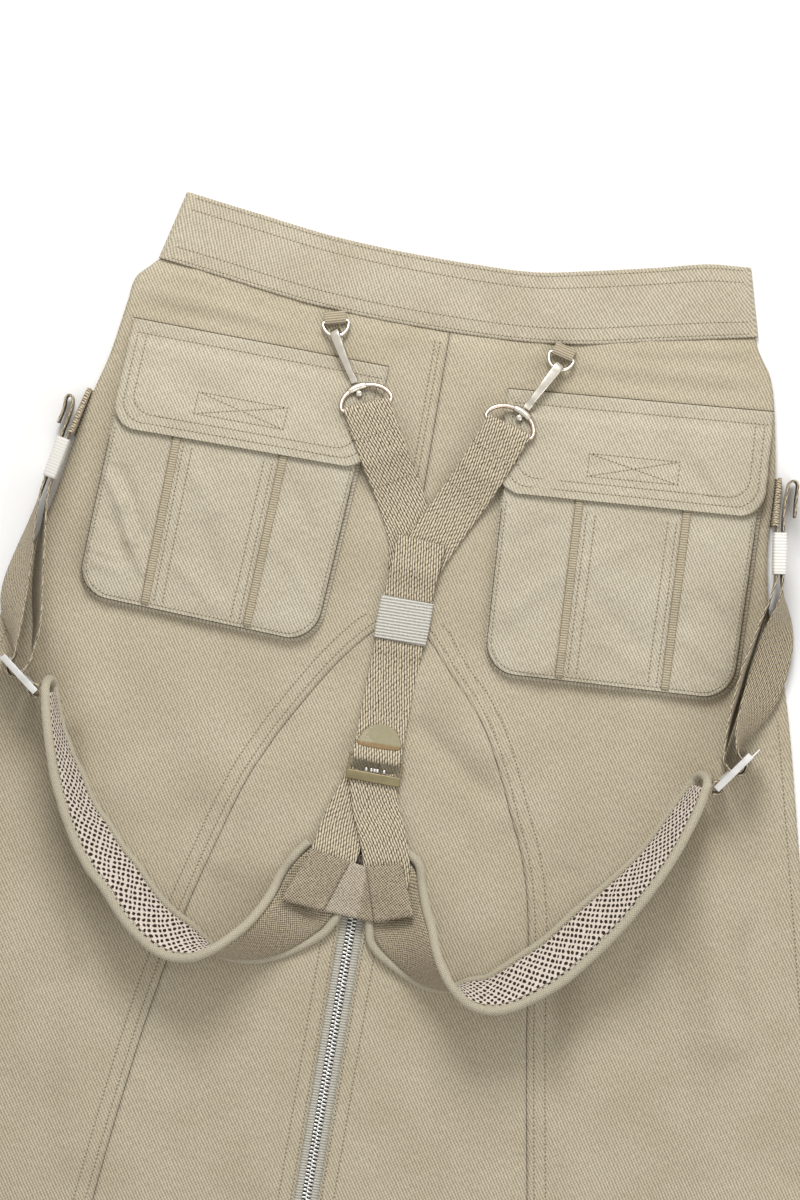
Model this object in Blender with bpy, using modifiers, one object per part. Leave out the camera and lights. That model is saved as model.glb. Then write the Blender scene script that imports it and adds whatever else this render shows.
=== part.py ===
"""A cargo utility skirt laid flat on a surface, back side up, with its harness lying on it.

Plan: +X to the wearer's right-hand side as seen from above, +Y towards the waist, +Z up.
The origin is under the middle of the laid-out skirt, on the surface that it lies on.
Sizes are in millimetres; MM turns them into Blender's metres when a mesh is made.
"""

import math
from collections import namedtuple

import bmesh
import bpy
from mathutils import Vector
from mathutils.bvhtree import BVHTree

MM = 0.001

# Driving sizes of the cloth
CLOTH = 1.2             # wall of the twill, seam allowances included
GAP = 0.3               # clearance between pieces that touch
SEAM = 0.25             # half the plan distance between two panels at a seam
PUFF = 2.0              # how far the back stands off the front in the middle
SIDE_FALL = 70.0        # width along each side over which the back comes down to the front
STRAP_LIFT = 1.9        # the front is raised this much where a strap runs under it
HEM_CENTRE = -413.5     # hem at the centre back
HEM_RISE = 36.0         # how much higher the hem is at the sides
HEM_HALF = 362.0        # half the hem's width
WAIST_MIDDLE = 346.0    # waist seam at the centre back
APEX = 169.0            # top of the arched insert

# Waistband
BAND_WALL = 2.0
BAND_FRONT = 1.0        # mid-height of the band's front layer
BAND_BACK = 3.8         # mid-height of its back layer

# Harness
WEBBING = 1.4
WEBBING_HALF = 15.0
UPPER_HALF = 14.6       # the upper webbings are squeezed a little by their rings
WIRE = 1.25             # radius of the strap rings' wire
WAIST_WIRE = 1.0        # radius of the waist rings' wire
PAD_WALL = 5.0
BINDING = 2.4           # radius of the binding round a pad
RING_TURN = WIRE + 0.3 + WEBBING / 2    # from a strap ring's bar to the middle of the webbing
RING_REACH = 14.0
RING_TILT = 0.3         # the bow hangs lower than the bar
BUCKLE_TURN = 2.4
BUCKLE_WALL = 2.0
YOKE_WALL = 1.2
LOOP_HALF = 12.0
LOOP_TURN = 3.75
LOOP_LEG = 3.2             # length of a pad loop's two legs

Place = namedtuple("Place", "x y")
SeamPoint = namedtuple("SeamPoint", "y x")
EdgePoint = namedtuple("EdgePoint", "x y")
Fold = namedtuple("Fold", "x0 y0 x1 y1 half_width height")
Corners = namedtuple("Corners", "top_left top_right bottom_left bottom_right")
PadRow = namedtuple("PadRow", "upper_x upper_y lower_x lower_y width")
StrapRow = namedtuple("StrapRow", "x y z lean")

LEFT_SIDE = [SeamPoint(*row) for row in (
    (371, -184), (363, -186), (350, -199), (335, -202), (300, -208), (274, -215),
    (248, -221), (198, -231), (128, -251), (-125, -307), (-378, -362))]
RIGHT_SIDE = [SeamPoint(*row) for row in (
    (371, 185), (359, 191), (349, 198), (328, 204), (285, 211), (248, 212.5), (225, 215.5),
    (200, 221), (158, 237), (73, 258), (-152, 310), (-378, 362))]
ARCH_LEFT = [SeamPoint(*row) for row in (
    (169, -4), (156, -19), (143, -31), (127, -43), (103, -58), (82, -70), (52, -84), (11, -97),
    (-38, -110), (-117, -125), (-250, -142), (-414, -158))]
ARCH_RIGHT = [SeamPoint(*row) for row in (
    (169, -4), (157, 12), (136, 31), (120, 46), (102, 59), (78, 71), (55, 81), (32, 91),
    (9, 98), (-22, 104), (-81, 112), (-250, 138), (-414, 158))]
WAIST_SEAM = [EdgePoint(*row) for row in (
    (-185, 363), (-149, 358), (-117, 353), (-85, 349), (-33, 346), (31, 346), (78, 350),
    (124, 359), (185, 371))]
WAIST_TOP = [EdgePoint(*row) for row in (
    (-174, 406), (-133, 400), (-83, 393), (-40, 390), (8, 389), (45, 390), (79, 396),
    (118, 404), (149, 411), (174, 413))]

# Soft creases: ridges are positive, troughs negative
FOLDS = [Fold(*row) for row in (
    (-196, 352, -160, 357, 6, 0.8),
    (-178, 348, -85, 341, 7, -1.4),
    (92, 352, 185, 363, 6, 0.8),
    (67, 342, 196, 348, 8, -1.4),
    (-235, 60, -160, -150, 26, -1.2),
    (-285, -60, -215, -330, 30, 1.3),
    (238, 96, 262, -40, 16, -1.2),
    (215, 40, 250, -190, 22, 1.1),
    (60, -150, 78, -400, 30, -1.0),
    (-70, -190, -88, -400, 30, 1.0),
    (190, -210, 235, -400, 26, -1.1),
    (-5, 24, -6, -24, 14, 0.9))]

# The zip
ZIP_TOP = 14.0
ZIP_END = -398.0
ZIP_SHOWN = 7.7         # half the width of tape and teeth that shows
TAPE_WALL = 0.7
CHAIN_HALF = 2.6
CHAIN_WALL = 2.2

# Pockets
BAG_HEIGHT = 7.5        # how far a full-gusseted bag stands off the panel
MOUTH_HEIGHT = 2.0      # height of the bag's mouth, hidden under the flap
MOUTH = 0.10            # place of the mouth, as a share of the bag's depth
BAG_CORNER = 19.0
FLAP_WALL = 1.6
FLAP_CORNER = 15.0
FLAP_ROOT = 9.0         # flat strip where the flap is sewn down
RIBBON_HALF = 2.5
RIBBON_WALL = 0.7

BAGS = {
    "left": Corners(Place(-196, 322), Place(-42, 318), Place(-206, 151), Place(-56, 142)),
    "right": Corners(Place(43, 315), Place(202, 325), Place(51, 141), Place(205, 147)),
}
FLAPS = {
    "left": Corners(Place(-197, 324), Place(-36, 318), Place(-201, 256), Place(-40, 253)),
    "right": Corners(Place(39, 316), Place(204, 327), Place(41, 252), Place(207, 261)),
}
# Ribbons: place across the bag at the flap and at the bottom edge, as shares of its width
RIBBONS = {
    "left": ((0.265, 0.285), (0.705, 0.715)),
    "right": ((0.300, 0.300), (0.725, 0.727)),
}

# Hardware
D_HALF = 8.2            # half the inside-to-centre width of a waist ring
STRAP_RING_HALF = 16.4
RING_AT = {
    "left": dict(waist=(-73, 341), hook_end=(-54, 303), bar=(-45.5, 291.5), bar_end=(-32, 297)),
    "right": dict(waist=(69, 341.5), hook_end=(50.5, 303.5), bar=(42.5, 291.5), bar_end=(57, 287)),
}


# ---------------------------------------------------------------- small tools

UP = Vector((0, 0, 1))


def clamp(value, low=0.0, high=1.0):
    return max(low, min(high, value))


def smooth(value):
    value = clamp(value)
    return value * value * (3 - 2 * value)


def flat(point, z=0.0):
    return Vector((point[0], point[1], z))


def along(table, where):
    """Reads a table of (place, value) rows as one smooth curve, straight past its ends."""
    rows = sorted(table)
    last = len(rows) - 2
    index = 0
    while index < last and where > rows[index + 1][0]:
        index += 1
    (x0, y0), (x1, y1) = rows[index], rows[index + 1]

    def slope(at):
        before, after = rows[max(at - 1, 0)], rows[min(at + 1, len(rows) - 1)]
        return (after[1] - before[1]) / (after[0] - before[0])

    step = x1 - x0
    t = (where - x0) / step
    if t <= 0:
        return y0 + slope(index) * (where - x0)
    if t >= 1:
        return y1 + slope(index + 1) * (where - x1)
    return (y0 * (1 + 2 * t) * (1 - t) ** 2 + slope(index) * step * t * (1 - t) ** 2
            + y1 * t * t * (3 - 2 * t) + slope(index + 1) * step * t * t * (t - 1))


def through(points, count):
    """Reads points of any number of columns as a smooth curve of count evenly shared points."""
    columns = list(zip(*points))
    places = [0.0]
    for a, b in zip(points, points[1:]):
        places.append(places[-1] + math.dist(a[:2], b[:2]))
    result = []
    for index in range(count):
        where = places[-1] * index / (count - 1)
        result.append([along(list(zip(places, column)), where) for column in columns])
    return result


def colour_finish(name, colour, roughness=0.9, metallic=0.0):
    finish = bpy.data.materials.new(name)
    finish.use_nodes = True
    shader = finish.node_tree.nodes["Principled BSDF"]
    shader.inputs["Base Color"].default_value = (*colour, 1)
    shader.inputs["Roughness"].default_value = roughness
    shader.inputs["Metallic"].default_value = metallic
    return finish


def place_object(name, bm, finish, origin=Vector()):
    """Makes the object from points in millimetres; its own origin may be a hinge."""
    mesh = bpy.data.meshes.new(name)
    for vertex in bm.verts:
        vertex.co = (vertex.co - origin) * MM
    bm.to_mesh(mesh)
    bm.free()
    mesh.shade_smooth()
    mesh.set_sharp_from_angle(angle=math.radians(40))
    mesh.materials.append(finish)
    piece = bpy.data.objects.new(name, mesh)
    piece.location = origin * MM
    parts.objects.link(piece)
    return piece


def grid_piece(name, columns, rows, place, wall, finish):
    """A cloth piece: a grid with its points at place(u, v), thickened towards the floor."""
    bm = bmesh.new()
    bmesh.ops.create_grid(bm, x_segments=columns, y_segments=rows, size=0.5)
    for vertex in bm.verts:
        vertex.co = place(vertex.co.x + 0.5, 0.5 - vertex.co.y)
    piece = place_object(name, bm, finish)
    shell = piece.modifiers.new("Cloth wall", "SOLIDIFY")
    shell.thickness = wall * MM
    shell.offset = -1
    return piece


def loft(name, rings, finish, cyclic=False, origin=Vector(), matched=False):
    """A closed body through rings of equal count, which may be unlike each other.

    matched splits the quads alike on both faces, so that a thin twisted band stays even.
    """
    bm = bmesh.new()
    loops = [[bm.verts.new(point) for point in ring] for ring in rings]
    pairs = list(zip(loops, loops[1:]))
    if cyclic:
        pairs.append((loops[-1], loops[0]))
    size = len(loops[0])
    for ring, following in pairs:
        for side in range(size):
            after = (side + 1) % size
            quad = (ring[side], ring[after], following[after], following[side])
            if matched:
                first = 0 if side < size / 2 else 1
                corners = quad[first:] + quad[:first]
                bm.faces.new(corners[:3])
                bm.faces.new((corners[0], corners[2], corners[3]))
            else:
                bm.faces.new(quad)
    if not cyclic:
        bm.faces.new(loops[0])
        bm.faces.new(loops[-1])
    bmesh.ops.recalc_face_normals(bm, faces=bm.faces)
    return place_object(name, bm, finish, origin)


def tangents(centres, cyclic=False):
    count = len(centres)
    result = []
    for index in range(count):
        if cyclic:
            before, after = centres[index - 1], centres[(index + 1) % count]
        else:
            before, after = centres[max(index - 1, 0)], centres[min(index + 1, count - 1)]
        result.append((after - before).normalized())
    return result


def ribbon(name, edges, wall, finish):
    """A flat band between two edges, given as (one edge, other edge, normal) rows."""
    rings = []
    for one, other, normal in edges:
        thick = normal.normalized() * (wall / 2)
        rings.append([one - thick, other - thick, other + thick, one + thick])
    return loft(name, rings, finish, matched=True)


def square_edges(stations, half_width):
    """Turns (centre, across) stations into a ribbon's rows, square to the path."""
    rows = []
    for (centre, across), forward in zip(stations, tangents([s[0] for s in stations])):
        across = (across - forward * across.dot(forward)).normalized()
        rows.append((centre + across * half_width, centre - across * half_width,
                     across.cross(forward)))
    return rows


def strap(name, stations, half_width, finish, wall=WEBBING):
    return ribbon(name, square_edges(stations, half_width), wall, finish)


def tube(name, centres, radius, sides, finish, cyclic=False, guide=UP):
    """A round rod along its centres."""
    rings = []
    for centre, forward in zip(centres, tangents(centres, cyclic)):
        first = forward.cross(guide).normalized()
        second = forward.cross(first).normalized()
        turns = [math.tau * (side + 0.5) / sides for side in range(sides)]
        rings.append([centre + first * (radius * math.cos(turn))
                      + second * (radius * math.sin(turn)) for turn in turns])
    return loft(name, rings, finish, cyclic)


def plate(name, outlines, thickness, finish, origin, x_axis, y_axis):
    """A flat plate with the first outline as its rim and the others as holes."""
    curve = bpy.data.curves.new(name, "CURVE")
    curve.dimensions = "2D"
    curve.fill_mode = "BOTH"
    curve.extrude = thickness / 2
    for outline in outlines:
        spline = curve.splines.new("POLY")
        spline.points.add(len(outline) - 1)
        for point, (x, y) in zip(spline.points, outline):
            point.co = (x, y, 0, 1)
        spline.use_cyclic_u = True
    source = bpy.data.objects.new(name, curve)
    mesh = bpy.data.meshes.new_from_object(source)
    bm = bmesh.new()
    bm.from_mesh(mesh)
    bpy.data.objects.remove(source)
    bpy.data.curves.remove(curve)
    bpy.data.meshes.remove(mesh)
    bmesh.ops.remove_doubles(bm, verts=bm.verts, dist=0.001)
    z_axis = x_axis.cross(y_axis)
    for vertex in bm.verts:
        x, y, z = vertex.co
        vertex.co = origin + x_axis * x + y_axis * y + z_axis * z
    return place_object(name, bm, finish, origin)


def box(name, centre, size, finish):
    bm = bmesh.new()
    bmesh.ops.create_cube(bm, size=1.0)
    for vertex in bm.verts:
        vertex.co = Vector(c + s * k for c, s, k in zip(centre, size, vertex.co))
    return place_object(name, bm, finish)


def fuse(name, pieces):
    """Joins overlapping bodies into one."""
    body = pieces[0]
    for other in pieces[1:]:
        union = body.modifiers.new("Join", "BOOLEAN")
        union.operation = "UNION"
        union.solver = "EXACT"
        union.object = other
    bpy.context.view_layer.update()
    graph = bpy.context.evaluated_depsgraph_get()
    mesh = bpy.data.meshes.new_from_object(body.evaluated_get(graph))
    bm = bmesh.new()
    bm.from_mesh(mesh)
    for vertex in bm.verts:
        vertex.co = (body.matrix_world @ vertex.co) / MM
    finish = body.data.materials[0]
    for piece in pieces:
        bpy.data.objects.remove(piece)
    bpy.data.meshes.remove(mesh)
    return place_object(name, bm, finish)


lying = []


def lie(piece):
    """From here on, other pieces may be laid on this one."""
    mesh = piece.data
    points = [piece.location + vertex.co for vertex in mesh.vertices]
    lying.append(BVHTree.FromPolygons(points, [face.vertices for face in mesh.polygons]))
    return piece


def top_at(x, y):
    """The highest point of everything laid so far, at one place."""
    highest = 0.0
    for tree in lying:
        hit = tree.ray_cast(Vector((x, y, 300)) * MM, -UP)[0]
        if hit is not None:
            highest = max(highest, hit.z / MM)
    return highest


def top_around(centre, along_way, half_length, half_width):
    """The highest point under a strip, for a stiff piece that bridges what it lies on."""
    side_way = Vector((-along_way.y, along_way.x, 0))
    highest = 0.0
    for a in range(-3, 4):
        for b in range(-3, 4):
            spot = centre + along_way * (half_length * a / 3) + side_way * (half_width * b / 3)
            highest = max(highest, top_at(spot.x, spot.y))
    return highest


# ---------------------------------------------------------------- heights of the layers

def waist_seam(x):
    return along(WAIST_SEAM, x)


def centre_line(y):
    """The centre back seam and the zip under it lean a little."""
    return -2.0 - 0.011 * (WAIST_MIDDLE - y)


def front_lift(x, y):
    below_band = waist_seam(x) - y
    return STRAP_LIFT * smooth((y - 160) / 52) * smooth(below_band / 8)


def crease_height(x, y):
    total = 0.0
    for fold in FOLDS:
        run_x, run_y = fold.x1 - fold.x0, fold.y1 - fold.y0
        t = clamp(((x - fold.x0) * run_x + (y - fold.y0) * run_y) / (run_x ** 2 + run_y ** 2))
        away = math.hypot(x - fold.x0 - t * run_x, y - fold.y0 - t * run_y)
        total += fold.height * math.exp(-(away / fold.half_width) ** 2)
    return total


def skirt_top(x, y):
    """The outer face of the back layer."""
    inset = min(x - along(LEFT_SIDE, y), along(RIGHT_SIDE, y) - x)
    inside = smooth(inset / SIDE_FALL)
    below_band = waist_seam(x) - y
    rise = PUFF * inside * (0.55 + 0.45 * smooth(below_band / 40))
    rise += crease_height(x, y) * smooth(inset / 20)
    return front_lift(x, y) + 2 * CLOTH + 0.4 + clamp(rise, 0.0, 3.3)


def corner_place(corners, s, t):
    top = (corners.top_left.x + (corners.top_right.x - corners.top_left.x) * s,
           corners.top_left.y + (corners.top_right.y - corners.top_left.y) * s)
    low = (corners.bottom_left.x + (corners.bottom_right.x - corners.bottom_left.x) * s,
           corners.bottom_left.y + (corners.bottom_right.y - corners.bottom_left.y) * s)
    return top[0] + (low[0] - top[0]) * t, top[1] + (low[1] - top[1]) * t


def corner_share(corners, x, y):
    """Where a point lies in a four-cornered piece, as shares of its width and depth."""
    s, t = 0.5, 0.5
    for _ in range(6):
        at_x, at_y = corner_place(corners, s, t)
        sx, sy = corner_place(corners, s + 0.01, t)
        tx, ty = corner_place(corners, s, t + 0.01)
        a, b, c, d = (sx - at_x) * 100, (tx - at_x) * 100, (sy - at_y) * 100, (ty - at_y) * 100
        area = a * d - b * c
        s += ((x - at_x) * d - (y - at_y) * b) / area
        t += ((y - at_y) * a - (x - at_x) * c) / area
    return s, t


def piece_size(corners):
    width = math.dist(corners.top_left, corners.top_right)
    depth = math.dist(corners.top_left, corners.bottom_left)
    return width, depth


def bag_rise(side, x, y):
    """How far the bag's face stands off the panel."""
    corners = BAGS[side]
    width, depth = piece_size(corners)
    s, t = corner_share(corners, x, y)
    rise = MOUTH_HEIGHT + (BAG_HEIGHT - MOUTH_HEIGHT) * smooth(t / 0.45)
    edge = min(s * width, (1 - s) * width, (1 - t) * depth)
    return rise - 0.9 * smooth(1 - edge / 7)


def bag_top(side, x, y):
    return skirt_top(x, y) + bag_rise(side, x, y)


def flap_top(side, x, y):
    corners = FLAPS[side]
    depth = piece_size(corners)[1]
    t = corner_share(corners, x, y)[1]
    over_bag = bag_rise(side, x, y) + 0.95 + FLAP_WALL
    root = FLAP_WALL + GAP
    rise = root + (over_bag - root) * smooth((t * depth - FLAP_ROOT) / 8) + 0.9 * clamp(t) ** 2
    return skirt_top(x, y) + rise


# ---------------------------------------------------------------- the skirt

PANEL_ROWS = (346, 338, 330, 318, 300, 280, 258, 235, 212, 190, 169, 164, 157, 148, 136, 120,
              102, 80, 54, 26, 19, 11, -18, -58, -105, -155, -210, -270, -335, -375, -413.5)


def panel_place(u, row_y, left_edge, right_edge):
    """A point of a panel between two edges that are curves of y."""
    def offset(x):
        share = (WAIST_MIDDLE - row_y) / (WAIST_MIDDLE - HEM_CENTRE)
        waist = waist_seam(x) - WAIST_MIDDLE
        hem = HEM_RISE * (x / HEM_HALF) ** 2
        return waist * (1 - share) ** 4 + hem * share ** 3

    ends = []
    for edge in (left_edge, right_edge):
        y = row_y
        for _ in range(5):
            x = edge(y)
            y = row_y + offset(x)
        ends.append(x)
    x = ends[0] + (ends[1] - ends[0]) * u
    return x, row_y + offset(x)


def panel(name, left_edge, right_edge, rows, columns, height, wall=CLOTH):
    last = len(rows) - 1

    def place(u, v):
        x, y = panel_place(u, rows[round(v * last)], left_edge, right_edge)
        if rows[round(v * last)] == WAIST_MIDDLE:
            y -= GAP
        return Vector((x, y, height(x, y)))

    return lie(grid_piece(name, columns, last, place, wall, twill))


def left_side(y):
    return along(LEFT_SIDE, y)


def right_side(y):
    return along(RIGHT_SIDE, y)


def back_left_edge(y):
    return (centre_line(y) if y > APEX else along(ARCH_LEFT, y)) - SEAM


def back_right_edge(y):
    return (centre_line(y) if y > APEX else along(ARCH_RIGHT, y)) + SEAM


def zip_opening(y):
    """Half the distance between the two inserts along the centre."""
    return SEAM + (ZIP_SHOWN - SEAM) * smooth((26 - y) / 13)


def build_panels():
    panel("back_left", left_side, back_left_edge, PANEL_ROWS, 10, skirt_top)
    panel("back_right", back_right_edge, right_side, PANEL_ROWS, 10, skirt_top)
    insert_rows = tuple(y for y in PANEL_ROWS if y < APEX - 1)
    panel("insert_left", lambda y: along(ARCH_LEFT, y) + SEAM,
          lambda y: centre_line(y) - zip_opening(y), insert_rows, 5, skirt_top)
    panel("insert_right", lambda y: centre_line(y) + zip_opening(y),
          lambda y: along(ARCH_RIGHT, y) - SEAM, insert_rows, 5, skirt_top)
    front_rows = (346, 340, 330, 300, 258, 235, 212, 190, 169, 148, 102, 54, -18, -105, -210,
                  -335, -413.5)
    panel("front_panel", left_side, right_side, front_rows, 14,
          lambda x, y: front_lift(x, y) + CLOTH)


def band_edge(table, share):
    x = table[0].x + (table[-1].x - table[0].x) * share
    return Vector((x, along(table, x)))


def build_waistband():
    """One band all round, folded flat at both sides."""
    across_back, across_front, rows = 18, 9, 4
    turn = (BAND_BACK - BAND_FRONT) / 2
    middle = (BAND_BACK + BAND_FRONT) / 2
    stops = [(index / across_back, 0.0, BAND_BACK) for index in range(across_back + 1)]
    turns = (45, 0, -45)
    stops += [(1.0, turn * math.cos(math.radians(a)), middle + turn * math.sin(math.radians(a)))
              for a in turns]
    stops += [(1 - index / across_front, 0.0, BAND_FRONT) for index in range(across_front + 1)]
    stops += [(0.0, -turn * math.cos(math.radians(a)), middle - turn * math.sin(math.radians(a)))
              for a in turns]
    bm = bmesh.new()
    loops = []
    for row in range(rows):
        share = row / (rows - 1)
        loop = []
        for place, reach, height in stops:
            point = band_edge(WAIST_TOP, place).lerp(band_edge(WAIST_SEAM, place), share)
            roll = 0.5 * math.sin(math.pi * share) if height > middle else 0.0
            loop.append(bm.verts.new((point.x + reach, point.y, height + roll)))
        loops.append(loop)
    for loop, lower in zip(loops, loops[1:]):
        for index in range(len(loop)):
            after = (index + 1) % len(loop)
            bm.faces.new((loop[index], lower[index], lower[after], loop[after]))
    piece = place_object("waistband", bm, twill)
    shell = piece.modifiers.new("Band wall", "SOLIDIFY")
    shell.thickness = BAND_WALL * MM
    shell.offset = 0


# ---------------------------------------------------------------- pockets

def pocket_rows(corners, corner, start, straight, arc):
    """(share of the depth, inset of both ends) of each row of a round-bottomed piece."""
    width, depth = piece_size(corners)
    low = 1 - corner / depth
    rows = [(start + (low - start) * row / straight, 0.0) for row in range(straight)]
    for row in range(arc + 1):
        angle = math.pi / 2 * row / arc
        rows.append((low + corner * math.sin(angle) / depth,
                     corner * (1 - math.cos(angle)) / width))
    return rows


def pocket_sheet(name, corners, rows, columns, top, wall):
    last = len(rows) - 1

    def place(u, v):
        t, inset = rows[round(v * last)]
        x, y = corner_place(corners, inset + (1 - 2 * inset) * u, t)
        return Vector((x, y, top(x, y)))

    return lie(grid_piece(name, columns, last, place, wall, twill))


def bag_outline(corners, rows, grow):
    """Points down the left side, along the bottom and up the right side, moved out by grow."""
    shares = [(inset, t) for t, inset in rows]
    shares += [(0.3, 1.0), (0.5, 1.0)]
    shares += [(1 - s, t) for s, t in reversed(shares[:-1])]
    points = [Vector(corner_place(corners, s, t)) for s, t in shares]
    result = []
    for index, point in enumerate(points):
        before, after = points[max(index - 1, 0)], points[min(index + 1, len(points) - 1)]
        forward = (after - before).normalized()
        result.append(point + Vector((forward.y, -forward.x)) * grow)
    return result


def build_pocket(side):
    corners = BAGS[side]
    rows = pocket_rows(corners, BAG_CORNER, MOUTH, 7, 4)
    pocket_sheet("bag_" + side, corners, rows, 10, lambda x, y: bag_top(side, x, y), CLOTH)
    outlines = [bag_outline(corners, rows[1:], grow) for grow in (1.2, 0.0, -1.2, -2.4)]
    rings = []
    for foot_out, foot_in, head_out, head_in in zip(*outlines):
        ring = [Vector((p.x, p.y, skirt_top(p.x, p.y) + 0.5)) for p in (foot_in, foot_out)]
        for p in (head_out, head_in):
            ring.append(Vector((p.x, p.y, bag_top(side, p.x, p.y) - CLOTH - 0.5)))
        rings.append(ring)
    lie(loft("gusset_" + side, rings, twill))
    pocket_sheet("flap_" + side, FLAPS[side], pocket_rows(FLAPS[side], FLAP_CORNER, 0.0, 6, 3),
                 10, lambda x, y: flap_top(side, x, y), FLAP_WALL)
    width = piece_size(corners)[0]
    shown = [t for t, inset in rows if 0.3 < t < 0.995]
    for number, (upper, lower) in enumerate(RIBBONS[side], 1):
        def place(u, v, upper=upper, lower=lower):
            t = shown[round(v * (len(shown) - 1))]
            s = upper + (lower - upper) * (t - 0.3) / 0.7 + (u - 0.5) * 2 * RIBBON_HALF / width
            x, y = corner_place(corners, s, t)
            return Vector((x, y, bag_top(side, x, y) + 0.45 + RIBBON_WALL))

        lie(grid_piece(f"ribbon_{side}_{number}", 1, len(shown) - 1, place, RIBBON_WALL,
                       grosgrain))


# ---------------------------------------------------------------- zip

def build_zip():
    for side, sign in (("left", -1), ("right", 1)):
        def place(u, v, sign=sign):
            y = ZIP_TOP + (ZIP_END - ZIP_TOP) * v
            reach = (CHAIN_HALF + GAP) + 8.5 * (u if sign > 0 else 1 - u)
            x = centre_line(y) + sign * reach
            return Vector((x, y, skirt_top(x, y) - CLOTH - GAP - 0.1))

        grid_piece("zip_tape_" + side, 1, 16, place, TAPE_WALL, tape)

    def chain_place(u, v):
        y = ZIP_TOP - 3 + (ZIP_END - ZIP_TOP + 3) * v
        x = centre_line(y)
        return Vector((x + (u - 0.5) * 2 * CHAIN_HALF, y, skirt_top(x, y) - 0.2))

    grid_piece("zip_chain", 1, 16, chain_place, CHAIN_WALL, steel)
    build_slider(centre_line(ZIP_TOP), ZIP_TOP - 2)


def build_slider(x, y):
    """The slider's plate and bridge; the tab's end bar lies under the bridge."""
    level = skirt_top(x, y) + GAP
    lie(fuse("zip_slider", [
        box("plate", (x, y, level + 0.8), (8.0, 10.0, 1.6), steel),
        box("bridge", (x, y, level + 3.9), (2.2, 8.0, 1.0), steel),
        box("post", (x, y + 3.3, level + 2.5), (2.2, 1.4, 2.6), steel),
        box("heel", (x, y - 3.3, level + 2.5), (2.2, 1.4, 2.6), steel)]))
    half, length, bar = 3.0, 27.0, 0.8
    rim = [(-half + 1, bar), (-half, bar - 1)]
    turns = [math.pi * (1 + k / 6) for k in range(7)]
    rim += [(half * math.cos(turn), half - length + half * math.sin(turn)) for turn in turns]
    rim += [(half, bar - 1), (half - 1, bar)]
    eye = [(-1.5, -bar), (1.5, -bar), (1.5, -6.4), (-1.5, -6.4)]
    plate("pull_tab", [rim, eye], 1.0, steel, Vector((x, y + 0.6, level + 2.5)),
          Vector((1, 0, 0)), Vector((0, 1, 0)))


# ---------------------------------------------------------------- padded straps

PAD_ROWS = {
    "left": [PadRow(*row) for row in (
        (-40, 20, -13, -12, 46), (-46, 12, -15, -20, 47), (-51, 5, -19, -30, 48),
        (-59, -17, -29, -40, 48), (-65, -28, -39, -47, 48), (-72, -38, -52, -54, 48),
        (-81, -47, -68, -58, 48), (-89, -54, -84, -57, 48), (-97, -59, -93, -51, 48),
        (-106, -62, -100, -45, 48), (-120, -61, -111, -39, 48), (-137, -51, -122, -32, 48),
        (-148, -41, -132, -23, 48), (-160, -27, -143, -11, 48), (-172, -15, -154, -1, 48),
        (-184, 2, -164, 11, 47), (-193, 19, -175, 22, 46), (-201, 37, -185, 38, 44),
        (-207, 56, -198, 58, 41), (-212, 74, -206, 76, 37), (-214.5, 86, -210, 88, 34))],
    "right": [PadRow(*row) for row in (
        (19, 24, 3, -16, 44), (26, 21, 4.5, -23, 47), (31, 13, 6, -30, 48),
        (35, -2, 9, -38, 48), (43, -20, 22, -47, 48), (49, -36, 36, -54, 48),
        (56, -48, 50, -58, 48), (63, -56, 62, -56, 48), (71, -62, 70, -51, 48),
        (83, -65, 80, -48, 48), (97, -62, 90, -40, 48), (112, -53, 102, -29, 48),
        (128, -40, 114, -18, 48), (145, -20, 129, 1, 48), (158, -2, 142, 16, 48),
        (171, 20, 156, 33, 47), (182, 42, 167, 49, 45), (190, 63, 176, 66, 42),
        (195.5, 81, 184, 82, 38), (197, 90, 188.5, 91, 35))],
}


def pad_edges(side, count):
    """The lower edge rests on the skirt; the upper stands as high as the width allows."""
    lower, upper = [], []
    for row in through(PAD_ROWS[side], count):
        row = PadRow(*row)
        reach = math.hypot(row.upper_x - row.lower_x, row.upper_y - row.lower_y)
        rise = math.sqrt(max((row.width - 2 * BINDING) ** 2 - reach ** 2, 0.0))
        foot = Vector((row.lower_x, row.lower_y, 0))
        level = top_around(foot, Vector((1, 0, 0)), 3, 3) + BINDING + 0.5
        lower.append(foot + UP * level)
        upper.append(Vector((row.upper_x, row.upper_y, level + rise)))
    return lower, upper


def pad_frames(side):
    """Middle, across, outward normal and half-width of each section of a pad."""
    lower, upper = pad_edges(side, 25)
    middles = [(a + b) / 2 for a, b in zip(lower, upper)]
    frames = []
    ways = zip(lower, upper, tangents(middles), tangents(lower), tangents(upper))
    for a, b, forward, low_way, high_way in ways:
        across = (b - a).normalized()
        slant = min(across.cross(low_way).length, across.cross(high_way).length)
        half = (b - a).length / 2 - (BINDING + 0.45) / max(slant, 0.45)
        frames.append(((a + b) / 2, across, across.cross(forward).normalized(), half))
    return lower, upper, frames


def build_pad(side):
    lower, upper, frames = pad_frames(side)
    rings = []
    soft, thick = 2.0, PAD_WALL / 2
    for index, (middle, across, normal, half) in enumerate(frames):
        if index == len(frames) - 1:
            half *= 0.8
        rings.append([middle + across * x + normal * y for x, y in (
            (-half, -0.45 * thick), (-half + soft, -thick), (half - soft, -thick),
            (half, -0.45 * thick), (half, 0.45 * thick), (half - soft, thick),
            (-half + soft, thick), (-half, 0.45 * thick))])
    lie(loft("pad_" + side, rings, pad_cloth, matched=True))

    ahead = (frames[-1][0] - frames[-2][0]).normalized()
    middle = frames[-1][0] + ahead * 1.0
    rise = upper[-1] - middle
    turn = [middle + rise * math.cos(a) + ahead * (7.0 * math.sin(a))
            for a in map(math.radians, (22, 56, 90, 124, 158))]
    lie(tube("binding_" + side, upper + turn + list(reversed(lower)), BINDING, 6, binding_cloth,
             guide=Vector((0.3, 0.2, 1)).normalized()))
    return frames


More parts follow.
